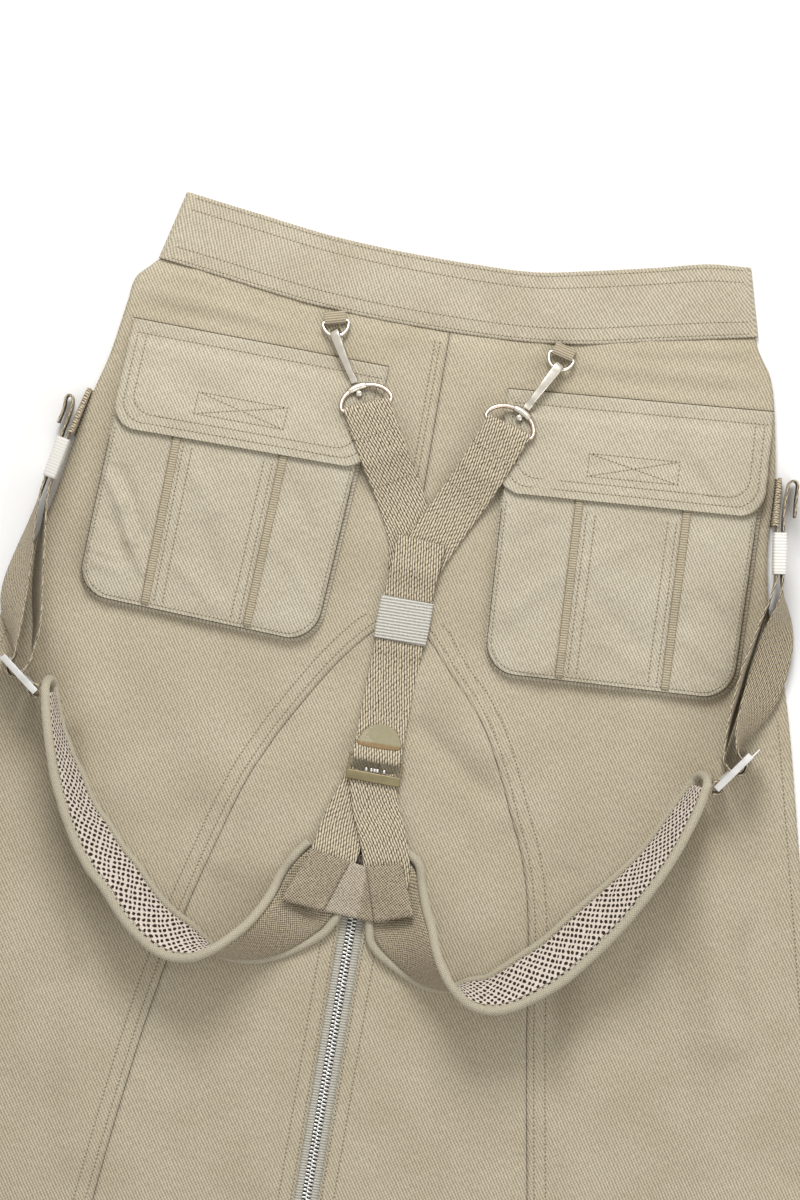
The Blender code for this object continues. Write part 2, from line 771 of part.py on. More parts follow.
# ---------------------------------------------------------------- rings and snap hooks

def bow_point(bar, along_bar, outward, half, reach, angle):
    return (bar + along_bar * (half * math.cos(angle))
            + outward * (reach * math.sin(angle) ** 0.85))


def d_ring(name, bar, along_bar, outward, half, reach, radius, finish):
    """A ring with a straight bar and a half-oval bow."""
    centres = [bow_point(bar, along_bar, outward, half, reach, math.pi * k / 12)
               for k in range(13)]
    centres += [bar + along_bar * (half * share) for share in (-0.6, 0.0, 0.6)]
    tube(name, centres, radius, 8, finish, cyclic=True, guide=along_bar.cross(outward))


def wire_sleeve(name, points, inner, outer, finish):
    """A sleeve that follows a bent wire."""
    ways = tangents(points)
    last = len(points) - 1
    rings = []
    for index in range(12):
        turn = math.tau * index / 12
        inside, outside = [], []
        for at, (point, way) in enumerate(zip(points, ways)):
            first = way.cross(UP).normalized()
            out = first * math.cos(turn) + way.cross(first) * math.sin(turn)
            end = 0.5 if at in (0, last) else 0.0
            inside.append(point + out * inner)
            outside.append(point + out * (outer - end))
        rings.append(inside + outside[::-1])
    loft(name, rings, finish, cyclic=True)


def build_hook(side, eye, collar, roll):
    """A snap hook whose bend goes round the waist ring at eye; roll turns its gate sideways."""
    forward = (collar - eye).normalized()
    level = forward.cross(UP).normalized()
    turn = math.radians(roll)
    rise = level.cross(forward) * math.cos(turn) + level * math.sin(turn)
    sideways = forward.cross(rise)
    length = (collar - eye).length
    bend, thick = 3.5, 1.2
    profile = [(length, 0.0, 1.9), (length - 3.5, 0.3, 2.0), (length - 7, 1.8, 1.75)]
    profile += [(length - 7 - (length - 10) * k / 4, 1.8 + 1.5 * smooth(k / 2.5), 1.75 + 0.22 * k)
                for k in range(1, 5)]
    profile += [(-bend * math.sin(math.radians(a)), bend * math.cos(math.radians(a)),
                 2.6 - 0.6 * a / 180) for a in (0, 30, 60, 90, 120, 150, 180)]
    profile += [(3.6, -bend, 1.6)]
    centres = [eye + forward * a + rise * b for a, b, half in profile]
    rings = []
    for centre, ahead, (a, b, half) in zip(centres, tangents(centres), profile):
        outward = sideways.cross(ahead).normalized()
        turns = [math.tau * (k + 0.5) / 8 for k in range(8)]
        rings.append([centre + sideways * (half * 1.06 * math.cos(t))
                      + outward * (thick * 1.06 * math.sin(t)) for t in turns])
    loft("hook_" + side, rings, nickel)

    hinge = eye + forward * (length - 6.5) - rise * 1.6
    tip = eye + forward * 4.3 - rise * bend
    rings = []
    for share, radius in ((0.0, 1.0), (0.08, 1.0), (0.2, 0.75), (0.85, 0.8), (0.89, 1.15),
                          (1.0, 1.15)):
        centre = hinge.lerp(tip, share)
        turns = [math.tau * k / 8 for k in range(8)]
        rings.append([centre + sideways * (radius * math.cos(t))
                      + rise * (radius * math.sin(t)) for t in turns])
    loft("gate_" + side, rings, nickel, origin=hinge)


def build_hardware(side):
    """The rings, the hook between them and the tab under the waistband."""
    at = RING_AT[side]
    bar_place, end_place = flat(at["bar"]), flat(at["bar_end"])
    along_bar = (end_place - bar_place).normalized()
    outward = UP.cross(along_bar)
    support = top_around(bar_place - outward * 9, outward, 12, UPPER_HALF + 1)
    bar = bar_place + UP * (support + 0.4 + WEBBING / 2 + RING_TURN)
    tilted = (outward - UP * RING_TILT).normalized()
    ring = (bar, along_bar, tilted, STRAP_RING_HALF, RING_REACH)
    d_ring("strap_ring_" + side, *ring, WIRE, rose_steel)

    place = flat(at["waist"])
    down = (flat(at["hook_end"]) - place).normalized()
    down = (down + Vector((0, -0.8, 0))).normalized()
    cross = UP.cross(down)
    base = top_around(place - down * -4, down, 8, 9)
    bar_level = base + 0.3 + 0.7 + 0.35 + WAIST_WIRE + 0.2
    waist_bar = place + UP * bar_level
    bow = (down + UP * 0.30).normalized()
    d_ring("waist_ring_" + side, waist_bar, cross, bow, D_HALF, 9.6, WAIST_WIRE, nickel)
    build_tab(side, waist_bar, down, cross)

    angle = math.acos(clamp((flat(at["hook_end"]) - bar_place).dot(along_bar) / STRAP_RING_HALF,
                            -0.9, 0.9))
    wire = [bow_point(*ring, angle + turn / 13.5) for turn in (-5.2, -3, -1, 1, 3, 5.2)]
    wire_sleeve("swivel_" + side, wire, WIRE + 0.4, 2.6, nickel)
    eye = waist_bar + bow * 9.6
    attach = bow_point(*ring, angle)
    collar = attach - (attach - eye).normalized() * 3.0
    build_hook(side, eye, collar, 16 if side == "left" else 0)
    return bar, along_bar


def build_tab(side, bar, down, cross):
    """A short tape from the waist seam, folded round the ring's bar."""
    turn = WAIST_WIRE + 0.3 + 0.35
    seam_y = waist_seam(bar.x) - 1.0
    back = -down / abs(down.y) * (seam_y - bar.y)
    stations = [(bar + back + UP * turn, cross), (bar + UP * turn, cross)]
    stations += [(bar + down * (turn * math.cos(a)) + UP * (turn * math.sin(a)), cross)
                 for a in (math.radians(k) for k in (50, 0, -50))]
    stations += [(bar - UP * turn, cross), (bar + back - UP * turn, cross)]
    strap("waist_tab_" + side, stations, 6.7, grosgrain, wall=0.7)


# ---------------------------------------------------------------- flat webbing

UPPER_PATHS = {
    "left": ((-3, 197), (-6, 215), (-16, 238), (-31, 264), (-45.5, 291.5)),
    "right": ((-1, 197), (7, 215), (17, 235), (28, 257), (42.5, 291.5)),
}
CENTRE_PATH = ((-6.6, 77.5), (-6, 95), (-5, 122), (-3.5, 150), (-2.5, 179), (0.6, 214))
LOWER_PATHS = {
    "left": ((-26, 1), (-23.5, 14), (-20, 32), (-15, 48), (-9, 66)),
    "right": ((11, 0), (9.5, 14), (4, 32), (-2, 46), (-7.5, 66)),
}


def plan_across(path):
    """Level directions square to a plan path."""
    return [way.cross(UP) for way in tangents([flat(point) for point in path])]


def laid_levels(path, half_width, needed, sag=0.22):
    """Heights of a webbing's middle along a plan path, bridging the hollows.

    needed(distance from the path's end, height of the cloth) is the least height.
    """
    spots = [flat(point) for point in path]
    rest = [(b - a).length for a, b in zip(spots, spots[1:])]
    levels = []
    for index, (spot, way) in enumerate(zip(spots, tangents(spots))):
        highest = top_around(spot, way, rest[0], half_width + 0.8)
        levels.append(max(highest + GAP + WEBBING / 2, needed(sum(rest[index:]), highest)))
    for _ in range(80):
        for index in range(1, len(levels) - 1):
            bridge = (levels[index - 1] + levels[index + 1]) / 2 - sag
            levels[index] = max(levels[index], bridge)
    return levels


def fold_over(bar, ahead, turn, under_length, under_level):
    """Stations of a webbing's end from over a bar, round it and back below."""
    across = ahead.cross(UP)
    stations = []
    for degrees in (60, 25, -10, -45, -80):
        angle = math.radians(degrees)
        stations.append((bar + ahead * (turn * math.cos(angle)) + UP * (turn * math.sin(angle)),
                         across))
    for share in (0.15, 0.6, 1.0):
        point = bar - ahead * (under_length * share)
        point.z = bar.z - turn + (under_level - bar.z + turn) * share
        stations.append((point, across))
    return stations


def build_upper_webbing(side, bar, along_bar):
    path = through(UPPER_PATHS[side], 17)
    low = bar.z - RING_TURN

    def needed(left, highest):
        if left > 21:
            return 0.0
        return low + 1.8 + (2 * RING_TURN - 1.8) * smooth((21 - left) / 21)

    levels = laid_levels(path, UPPER_HALF, needed)
    across = plan_across(path)[:-1] + [along_bar]
    stations = [(flat(point, level), way) for point, level, way in zip(path, levels, across)]
    stations += fold_over(bar, UP.cross(along_bar), RING_TURN, 18, low)
    lie(strap("upper_webbing_" + side, stations, UPPER_HALF, webbing))


def build_centre_webbing():
    """Hemmed at the top, folded round the buckle's bar at the bottom."""
    path = through(CENTRE_PATH, 23)
    bar_place = flat(path[0])
    way = Vector((0, 1, 0))
    low = top_around(bar_place + way * 6, way, 9, 16) + 0.4 + WEBBING / 2
    lower_ends = top_around(bar_place - way * 12, way, 5, 17)
    bar_level = max(low + BUCKLE_TURN, lower_ends + 0.35 + BUCKLE_WALL / 2)
    bar = bar_place + UP * bar_level
    length = sum(math.dist(a, b) for a, b in zip(path, path[1:]))
    hem_way = tangents([flat(point) for point in path])[-1]
    hem_level = top_around(flat(path[-1]) - hem_way * 8, hem_way, 10, 16) + 0.4 + WEBBING / 2

    def needed(left, highest):
        done = length - left
        level = highest + 3.1 if 68 < done < 106 else 0.0
        if done < 16:
            level = max(level, low + 2.0 + (bar_level + BUCKLE_TURN - low - 2.0)
                        * smooth((16 - done) / 16))
        if left < 20:
            level = max(level, hem_level + 1.9)
        return level

    levels = laid_levels(path, WEBBING_HALF, needed, sag=0.6)
    across = plan_across(path)
    stations = [(flat(point, level), way) for point, level, way in zip(path, levels, across)]
    top, top_way = stations[-1][0], UP.cross(across[-1])
    hem = fold_over(top - UP * 0.95, top_way, 0.95, 14, hem_level)
    low_way = -UP.cross(across[0])
    head = fold_over(bar, low_way, BUCKLE_TURN, 13, low)
    flipped = [(point, -way) for point, way in reversed(head)]
    lie(strap("centre_webbing", flipped + stations + hem, WEBBING_HALF, webbing))
    return bar, stations


def sleeve(name, centre, forward, across, up, length, half_width, half_height, wall, finish):
    """A flattened tube round a webbing."""
    corner = min(half_width, half_height) * 0.4
    rings = []
    for index in range(12):
        turn = math.radians(90 * (index // 3) + (8, 45, 82)[index % 3])
        a, b = math.cos(turn), math.sin(turn)
        inner = (math.copysign(half_width - corner, a) + corner * a,
                 math.copysign(half_height - corner, b) + corner * b)
        outer = (inner[0] + wall * a, inner[1] + wall * b)
        ring = []
        for end in (-0.5, 0.5):
            middle = centre + forward * (length * end)
            pair = [middle + across * x + up * y for x, y in (inner, outer)]
            ring += pair if end < 0 else pair[::-1]
        rings.append(ring)
    return loft(name, rings, finish, cyclic=True)


def build_centre_fittings(bar, stations):
    low, near, high = [min(stations, key=lambda station: abs(station[0].y - y))
                       for y in (152, 164.5, 177)]
    forward = (high[0] - low[0]).normalized()
    middle = (low[0] + high[0]) / 2
    sleeve("keeper_centre", middle, forward, near[1], near[1].cross(forward).normalized(), 29.6,
           WEBBING_HALF + 0.6, WEBBING / 2 + 0.8, 1.1, elastic)

    def moon_place(u, v):
        turn = math.pi / 2 * (0.16 + 0.84 * v)
        y = 84.8 + 13.0 * math.cos(turn)
        x = along([(s[0].y, s[0].x) for s in stations], y)
        level = along([(s[0].y, s[0].z) for s in stations], y)
        return Vector((x + (u - 0.5) * 28.6 * math.sin(turn), y, level + WEBBING / 2 + 1.35))

    grid_piece("half_moon", 6, 6, moon_place, 1.0, leather)
    rim = [(-17, -15.3), (17, -15.3), (17, 1.1), (-17, 1.1)]
    slot = [(-15.6, -9.3), (15.6, -9.3), (15.6, -1.1), (-15.6, -1.1)]
    lie(plate("centre_buckle", [rim, slot], BUCKLE_WALL, painted_metal, bar, stations[0][1],
              UP.cross(stations[0][1])))


def build_lower_webbing(side):
    path = through(LOWER_PATHS[side], 12)
    levels = laid_levels(path, WEBBING_HALF, lambda left, highest: 0.0)
    stations = [(flat(point, level), way)
                for point, level, way in zip(path, levels, plan_across(path))]
    lie(strap("lower_webbing_" + side, stations, WEBBING_HALF - 0.6, webbing))


YOKE_TOP = ((-37, 15), (-10, 11.5), (-4, 11.5), (19, 15))
YOKE_LOW = ((-52, -17), (-20, -23), (6, -23.5), (31, -16))


def build_yoke():
    """The patch that holds the pads and the lower webbing together."""
    def place(u, v):
        at = u * 3
        index = min(int(at), 2)
        edges = []
        for row in (YOKE_TOP, YOKE_LOW):
            edges.append(Vector(row[index]).lerp(Vector(row[index + 1]), at - index))
        point = flat(edges[0].lerp(edges[1], v))
        return point + UP * (top_around(point, Vector((1, 0, 0)), 5, 6) + 0.35 + YOKE_WALL)

    grid_piece("yoke_patch", 9, 4, place, YOKE_WALL, yoke_cloth)


# ---------------------------------------------------------------- side straps and adjusters

SIDE_STRAPS = {
    "left": dict(
        mirror=1, edge=left_side, edge_low=246.5, keeper=(-230.15, 231.0), lean=-0.21,
        hidden=((-98, 322), (-120, 303), (-148, 282), (-180, 267), (-203, 262.5)),
        inner=[StrapRow(*row) for row in (
            (-225.5, 245.2, 18.8, 90), (-228.2, 232, 18.8, 90), (-231.3, 217.5, 18.9, 90),
            (-232.2, 205, 20.2, 92), (-231.8, 190, 21.2, 96), (-231.3, 170, 21.8, 102),
            (-229.5, 150, 22.2, 104), (-226.5, 126, 22.6, 100), (-226.6, 105, 22.9, 90))],
        outer=[StrapRow(*row) for row in (
            (-237.0, 106.0, 22.9, 90), (-238.3, 114, 22.6, 84), (-240.6, 125, 21.5, 70),
            (-243.4, 139, 19.5, 58), (-243.2, 152, 19.0, 58), (-241.5, 168, 19.3, 66),
            (-239.4, 188, 19.4, 80), (-237.4, 204, 19.0, 88), (-235.1, 217.5, 18.9, 90),
            (-232.1, 232, 18.8, 90), (-228.9, 247, 18.8, 90), (-226.6, 258, 18.6, 90),
            (-225.6, 265, 18.5, 90))],
        end=((-230.4, 262), (-232.4, 252.5)),
        near=(-220.6, 86.2), heading=(-0.78, 0.626), level=22.9),
    "right": dict(
        mirror=-1, edge=right_side, edge_low=256.5, keeper=(220.2, 240.8), lean=0.13,
        hidden=((98, 322), (124, 305), (152, 288), (180, 276), (198, 272.2)),
        inner=[StrapRow(*row) for row in (
            (216.3, 255.2, 18.9, 90), (218.3, 240.8, 18.9, 90), (220.4, 225.5, 19.1, 90),
            (219.2, 214, 20.7, 92), (215.8, 198, 21.3, 95), (212.7, 180, 21.7, 98),
            (210.0, 165, 22.0, 100), (207.5, 141, 22.4, 100), (205.7, 124, 22.7, 96),
            (205.2, 109, 22.9, 90))],
        outer=[StrapRow(*row) for row in (
            (214.0, 114.0, 22.9, 90), (214.2, 123, 22.0, 76), (217.5, 136, 19.4, 58),
            (222.4, 152, 16.4, 42), (225.6, 170, 16.0, 39), (226.9, 188, 16.8, 46),
            (227.0, 203, 18.4, 66), (225.8, 214, 19.0, 84), (224.2, 225.5, 19.1, 90),
            (222.2, 240.8, 18.9, 90), (220.1, 256, 18.8, 90), (218.9, 268, 18.6, 90),
            (219.0, 280, 18.5, 90))],
        end=((225.2, 275), (226.0, 264)),
        near=(203.2, 91.0), heading=(0.6, 0.8), level=22.9),
}
ADJUSTER_LENGTH = 30.0
SLOTS = ((2.2, 8.2), (12.6, 26.4))      # from the far end
ADJUSTER_WALL = 4.2
ADJUSTER_HALF = 18.2
FOLD_NEAR = 1.8         # the strap's first layer outside the skirt's side
FOLD_FAR = 4.0          # the second layer, after the diagonal fold
STRAP_FOOT = 3.8        # lower edge of the standing strap


def strand_edges(rows, mirror, count):
    """Edges of a strand; lean is measured from level, 90 when it stands upright."""
    rows = [StrapRow(*row) for row in through(rows, count)]
    centres = [Vector(row[:3]) for row in rows]
    result = []
    for row, centre, way in zip(rows, centres, tangents([flat(c.xy) for c in centres])):
        lean = math.radians(row.lean)
        across = way.cross(UP) * (mirror * math.cos(lean)) + UP * math.sin(lean)
        result.append((centre + across * WEBBING_HALF, centre - across * WEBBING_HALF,
                       across.cross(way) * -mirror))
    return result


def hidden_edges(data):
    """The strap's run under the front, up outside the side seam and over its diagonal fold."""
    low_y = data["edge_low"]
    low = Vector((data["edge"](low_y), low_y, 0))
    high = Vector((data["edge"](low_y + 29.5), low_y + 29.5, 0))
    side_way = (high - low).normalized()
    out = side_way.cross(UP) * -data["mirror"]
    half = side_way * WEBBING_HALF
    middle = low + half
    flat_z = UP * (WEBBING / 2 + 0.05)
    path = [flat(point) for point in data["hidden"]] + [middle + out * 0.5]
    rows = []
    for point, way in zip(path, tangents(path)):
        across = UP.cross(way) * -data["mirror"]
        if point is path[-1]:
            across = side_way
        rows.append((point + flat_z - across * WEBBING_HALF, point + flat_z + across * WEBBING_HALF,
                     UP))
    radius = FOLD_NEAR - 0.5
    for degrees in (35, 65, 90):
        turn = math.radians(degrees)
        centre = (middle + out * (0.5 + radius * math.sin(turn)) + flat_z
                  + UP * (radius * (1 - math.cos(turn))))
        rows.append((centre - half, centre + half, UP * math.cos(turn) - out * math.sin(turn)))
    foot, head = STRAP_FOOT, STRAP_FOOT + 2 * WEBBING_HALF
    first, second = middle + out * FOLD_NEAR, middle + out * FOLD_FAR
    rows.append((first - half + UP * head, first + half + UP * foot, -out))
    arc = (FOLD_FAR - FOLD_NEAR) / 2
    beyond = (side_way + UP).normalized()
    for degrees in (45, 90, 135):
        turn = math.radians(degrees)
        shift = beyond * (arc * math.sin(turn)) + out * (arc * (1 - math.cos(turn)))
        rows.append((first - half + UP * head + shift, first + half + UP * foot + shift,
                     beyond * math.sin(turn) - out * math.cos(turn)))
    rows.append((second - half + UP * head, second + half + UP * foot, out))
    return rows


def build_side_strap(side, frames):
    data = SIDE_STRAPS[side]
    mirror = data["mirror"]
    near = Vector(data["near"])
    heading = Vector(data["heading"]).normalized()
    far = near + heading * ADJUSTER_LENGTH
    strand_side = Vector((heading.y, -heading.x)) * mirror
    edges = hidden_edges(data) + strand_edges(data["inner"], mirror, 24)
    (first_start, first_end), (second_start, second_end) = SLOTS
    post = far - heading * ((first_end + second_start) / 2)
    radius = (second_start - first_end) / 2 + 3.0
    half = UP * WEBBING_HALF
    for degrees in (0, 45, 90, 135, 180):
        turn = math.radians(degrees)
        out = -heading * math.cos(turn) - strand_side * math.sin(turn)
        centre = flat(post + out * radius, data["level"])
        edges.append((centre + half, centre - half, flat(-out)))
    edges += strand_edges(data["outer"], mirror, 24)
    edges += end_fold(data, half)
    ribbon("side_webbing_" + side, edges, WEBBING, webbing)

    along_keeper = Vector((data["lean"] * -1, 1, 0)).normalized()
    sleeve("keeper_" + side, flat(data["keeper"], 18.9), along_keeper, along_keeper.cross(UP), UP,
           28.5, 3.4, WEBBING_HALF + 0.5, 1.1, elastic)
    build_adjuster(side, far, heading, strand_side, data["level"])
    build_pad_loop(side, near + heading * 1.8, data, frames)


def end_fold(data, half):
    """The strap's end, turned back beside itself."""
    top = Vector(data["outer"][-1][:3])
    down = [flat(point, top.z) for point in data["end"]]
    out = Vector((-data["mirror"], 0, 0))
    turn = abs(down[0].x - top.x) / 2
    centre = top + out * turn + Vector((0, 2, 0))
    rows = []
    for degrees in (150, 110, 70, 30):
        angle = math.radians(degrees)
        normal = out * math.cos(angle) + Vector((0, 1, 0)) * math.sin(angle)
        spot = centre + out * (turn * math.cos(angle)) + Vector((0, 1.5 * turn * math.sin(angle), 0))
        rows.append((spot + half, spot - half, normal))
    for spot in down:
        rows.append((spot + half, spot - half, out))
    return rows


def build_adjuster(side, far, heading, strand_side, level):
    """A metal frame with two slots and a thin lip, standing on its edge."""
    half, slot_half = ADJUSTER_HALF, WEBBING_HALF + 0.6
    rim = [(0, -half), (ADJUSTER_LENGTH, -half), (ADJUSTER_LENGTH, half), (0, half)]
    holes = [[(a, -slot_half), (b, -slot_half), (b, slot_half), (a, slot_half)]
             for a, b in SLOTS]
    inward = flat(-heading)
    body = plate("frame", [rim] + holes, ADJUSTER_WALL, bright_steel, flat(far, level), inward, UP)
    lip_rim = [(-6.5, -9), (1.2, -11), (1.2, 11), (-6.5, 9)]
    lip_place = flat(far - strand_side * (ADJUSTER_WALL / 2 - 0.6), level)
    lip = plate("lip", [lip_rim], 0.9, bright_steel, lip_place, inward, UP)
    fuse("adjuster_" + side, [body, lip])


def build_pad_loop(side, post, data, frames):
    """A short loop from the pad's tip round the adjuster's end post."""
    middle, lean = frames[-1][:2]
    turn_centre = flat(post, data["level"])
    way = (flat(post) - flat(middle.xy)).normalized()
    right = way.cross(UP) * data["mirror"]
    feet = [turn_centre - way * LOOP_LEG + right * (LOOP_TURN * sign) for sign in (1, -1)]
    stations = [(feet[0], lean)]
    for degrees in (0, 36, 72, 108, 144, 180):
        turn = math.radians(degrees)
        outward = right * math.cos(turn) + way * math.sin(turn)
        stations.append((turn_centre + outward * LOOP_TURN, UP))
    stations.append((feet[1], lean))
    strap("pad_loop_" + side, stations, LOOP_HALF, webbing)


# ---------------------------------------------------------------- build everything

for old in list(bpy.data.objects):
    bpy.data.objects.remove(old)

parts = bpy.data.collections.new("cargo_utility_skirt")
bpy.context.scene.collection.children.link(parts)

twill = colour_finish("khaki_twill", (0.53, 0.47, 0.36))
grosgrain = colour_finish("khaki_grosgrain", (0.48, 0.43, 0.33))
webbing = colour_finish("khaki_webbing", (0.45, 0.40, 0.31))
tape = colour_finish("grey_zip_tape", (0.50, 0.48, 0.43))
yoke_cloth = colour_finish("yoke_tape", (0.40, 0.37, 0.29))
elastic = colour_finish("white_elastic", (0.78, 0.76, 0.72))
leather = colour_finish("grey_green_leather", (0.36, 0.34, 0.24), 0.6)
pad_cloth = colour_finish("pad_cloth", (0.52, 0.46, 0.35))
binding_cloth = colour_finish("pad_binding", (0.56, 0.51, 0.39))
steel = colour_finish("zip_metal", (0.62, 0.61, 0.58), 0.35, 1.0)
nickel = colour_finish("pale_nickel", (0.72, 0.68, 0.60), 0.3, 1.0)
rose_steel = colour_finish("warm_steel", (0.70, 0.60, 0.54), 0.3, 1.0)
bright_steel = colour_finish("bright_steel", (0.85, 0.85, 0.84), 0.3, 1.0)
painted_metal = colour_finish("khaki_painted_metal", (0.42, 0.38, 0.27), 0.5)

build_panels()
build_waistband()
for side_name in ("left", "right"):
    build_pocket(side_name)
build_zip()
for side_name in ("left", "right"):
    pad_sections = build_pad(side_name)
    build_side_strap(side_name, pad_sections)
for side_name in ("left", "right"):
    ring_bar, bar_way = build_hardware(side_name)
    build_upper_webbing(side_name, ring_bar, bar_way)
for side_name in ("left", "right"):
    build_lower_webbing(side_name)
buckle_bar, centre_stations = build_centre_webbing()
build_centre_fittings(buckle_bar, centre_stations)
build_yoke()
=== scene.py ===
# %% [markdown]
# # A cargo skirt laid flat, with its strap harness on it
# The skirt lies on its front, so what shows is the back: a contoured waistband, two bellows
# pockets, an arched insert with a metal zip, and a harness of webbing and padded straps that
# clips to two rings below the band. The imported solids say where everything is. This file gives
# each piece its cloth, its seams and its metal.

# %% Load the frame
import math

import bmesh
import bpy
import numpy as np
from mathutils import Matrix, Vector, noise
from mathutils.bvhtree import BVHTree


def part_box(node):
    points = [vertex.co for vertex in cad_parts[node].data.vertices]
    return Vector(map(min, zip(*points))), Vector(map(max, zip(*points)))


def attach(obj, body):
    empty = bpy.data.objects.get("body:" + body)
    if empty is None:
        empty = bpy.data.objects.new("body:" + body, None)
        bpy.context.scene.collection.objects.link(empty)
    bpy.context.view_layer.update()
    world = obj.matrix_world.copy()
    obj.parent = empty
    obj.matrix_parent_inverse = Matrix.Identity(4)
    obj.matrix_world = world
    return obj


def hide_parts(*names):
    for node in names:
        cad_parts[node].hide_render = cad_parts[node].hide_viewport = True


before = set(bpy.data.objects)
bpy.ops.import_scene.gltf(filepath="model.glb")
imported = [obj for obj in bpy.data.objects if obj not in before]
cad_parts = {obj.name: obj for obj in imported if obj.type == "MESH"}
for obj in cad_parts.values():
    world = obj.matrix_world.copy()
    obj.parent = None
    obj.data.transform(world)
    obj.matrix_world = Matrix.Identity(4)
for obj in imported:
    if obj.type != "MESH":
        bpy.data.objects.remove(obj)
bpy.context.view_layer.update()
MM = 0.001
SIDES = ("left", "right")
print("solids in the frame:", len(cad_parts))

# %% [markdown]
# ## The camera looks straight down
# A garment is best shown from above with a long lens, so that its far and near parts have one
# scale. The camera turns a little about its own axis, because the skirt lies at a slight angle.


# %% Camera
TURN = math.radians(8.8)


def add_object(name, data, place=(0, 0, 0), turn=(0, 0, 0)):
    thing = bpy.data.objects.new(name, data)
    thing.location, thing.rotation_euler = place, turn
    bpy.context.scene.collection.objects.link(thing)
    return thing


camera_data = bpy.data.cameras.new("camera")
camera_data.lens, camera_data.sensor_width, camera_data.clip_end = 300, 36, 50
camera = add_object("camera", camera_data, (-0.0072, 0.1765, 6.2), (0, 0, TURN))
bpy.context.scene.camera = camera
print("camera is", camera.location.z, "m above the table")

# %% [markdown]
# ## Smooth curves from a few places
# A pattern cutter draws a seam through a few marks with a flexible rule. The same is done here:
# a short table of marks becomes a function that can be read anywhere along the seam. Soft
# noise, unit vectors and distances along a line are needed everywhere too.


# %% Curves and small sums
def curve_through(rows):
    """A smooth function through rows of (place, value), straight past its ends."""
    place, value = np.array(sorted(rows), float).T
    every, last = np.arange(len(place)), len(place) - 1
    before, after = np.maximum(every - 1, 0), np.minimum(every + 1, last)
    slope = (value[after] - value[before]) / (place[after] - place[before])

    def read(where):
        where = np.asarray(where, float)
        k = np.clip(np.searchsorted(place, where) - 1, 0, last - 1)
        step = place[k + 1] - place[k]
        t = np.clip((where - place[k]) / step, 0, 1)
        past = where - np.clip(where, place[0], place[-1])
        return (value[k] * (1 + 2 * t) * (1 - t) ** 2 + slope[k] * step * t * (1 - t) ** 2
                + value[k + 1] * t * t * (3 - 2 * t) + slope[k + 1] * step * t * t * (t - 1)
                + past * np.where(where < place[0], slope[0], slope[-1]))

    return read


def resampled(places, spacing, *tables):
    """Finer places along a line, and smooth curves through each table's columns at them."""
    wanted = np.linspace(0, places[-1], max(int(places[-1] / spacing), 8))
    return [wanted] + [np.stack([curve_through(zip(places, column))(wanted)
                                 for column in table.T], -1) for table in tables]


def ease(value):
    value = np.clip(value, 0, 1)
    return value * value * (3 - 2 * value)


def clouds(x, y, size_x, size_y, seed):
    """Soft noise between about -1 and 1, with lumps of the given size in millimetres."""
    x, y = np.broadcast_arrays(x, y)
    spots = zip((x / size_x).ravel(), (y / size_y).ravel())
    return np.array([noise.noise((a, b, seed)) for a, b in spots]).reshape(x.shape)


def together(*columns):
    return np.stack(np.broadcast_arrays(*columns), -1)


def raised(plan, height):
    return np.concatenate([plan, height[..., None]], -1)


def unit(vectors):
    return vectors / np.linalg.norm(vectors, axis=-1, keepdims=True)


def length_along(line):
    return np.append(0, np.cumsum(np.linalg.norm(np.diff(line, axis=0), axis=1)))


# %% The pattern's marks, in millimetres
CLOTH, GAP, SEAM = 1.2, 0.3, 0.18
PUFF, SIDE_FALL, STRAP_LIFT = 2.0, 70.0, 1.9
HEM_CENTRE, HEM_RISE, HEM_HALF = -413.5, 36.0, 362.0
WAIST_MIDDLE, APEX = 346.0, 169.0

left_side = curve_through([
    (371, -184), (363, -186), (350, -199), (335, -202), (300, -208), (274, -215),
    (248, -221), (198, -231), (128, -251), (-125, -307), (-378, -362)])
right_side = curve_through([
    (371, 185), (359, 191), (349, 198), (328, 204), (285, 211), (248, 212.5), (225, 215.5),
    (200, 221), (158, 237), (73, 258), (-152, 310), (-378, 362)])
arch_left = curve_through([
    (169, -4), (156, -19), (143, -31), (127, -43), (103, -58), (82, -70), (52, -84), (11, -97),
    (-38, -110), (-117, -125), (-250, -142), (-414, -158)])
arch_right = curve_through([
    (169, -4), (157, 12), (136, 31), (120, 46), (102, 59), (78, 71), (55, 81), (32, 91),
    (9, 98), (-22, 104), (-81, 112), (-250, 138), (-414, 158)])
waist_seam = curve_through([
    (-185, 363), (-149, 358), (-117, 353), (-85, 349), (-33, 346), (31, 346), (78, 350),
    (124, 359), (185, 371)])
waist_top = curve_through([
    (-174, 406), (-133, 400), (-83, 393), (-40, 390), (8, 389), (45, 390), (79, 396),
    (118, 404), (149, 411), (174, 413)])

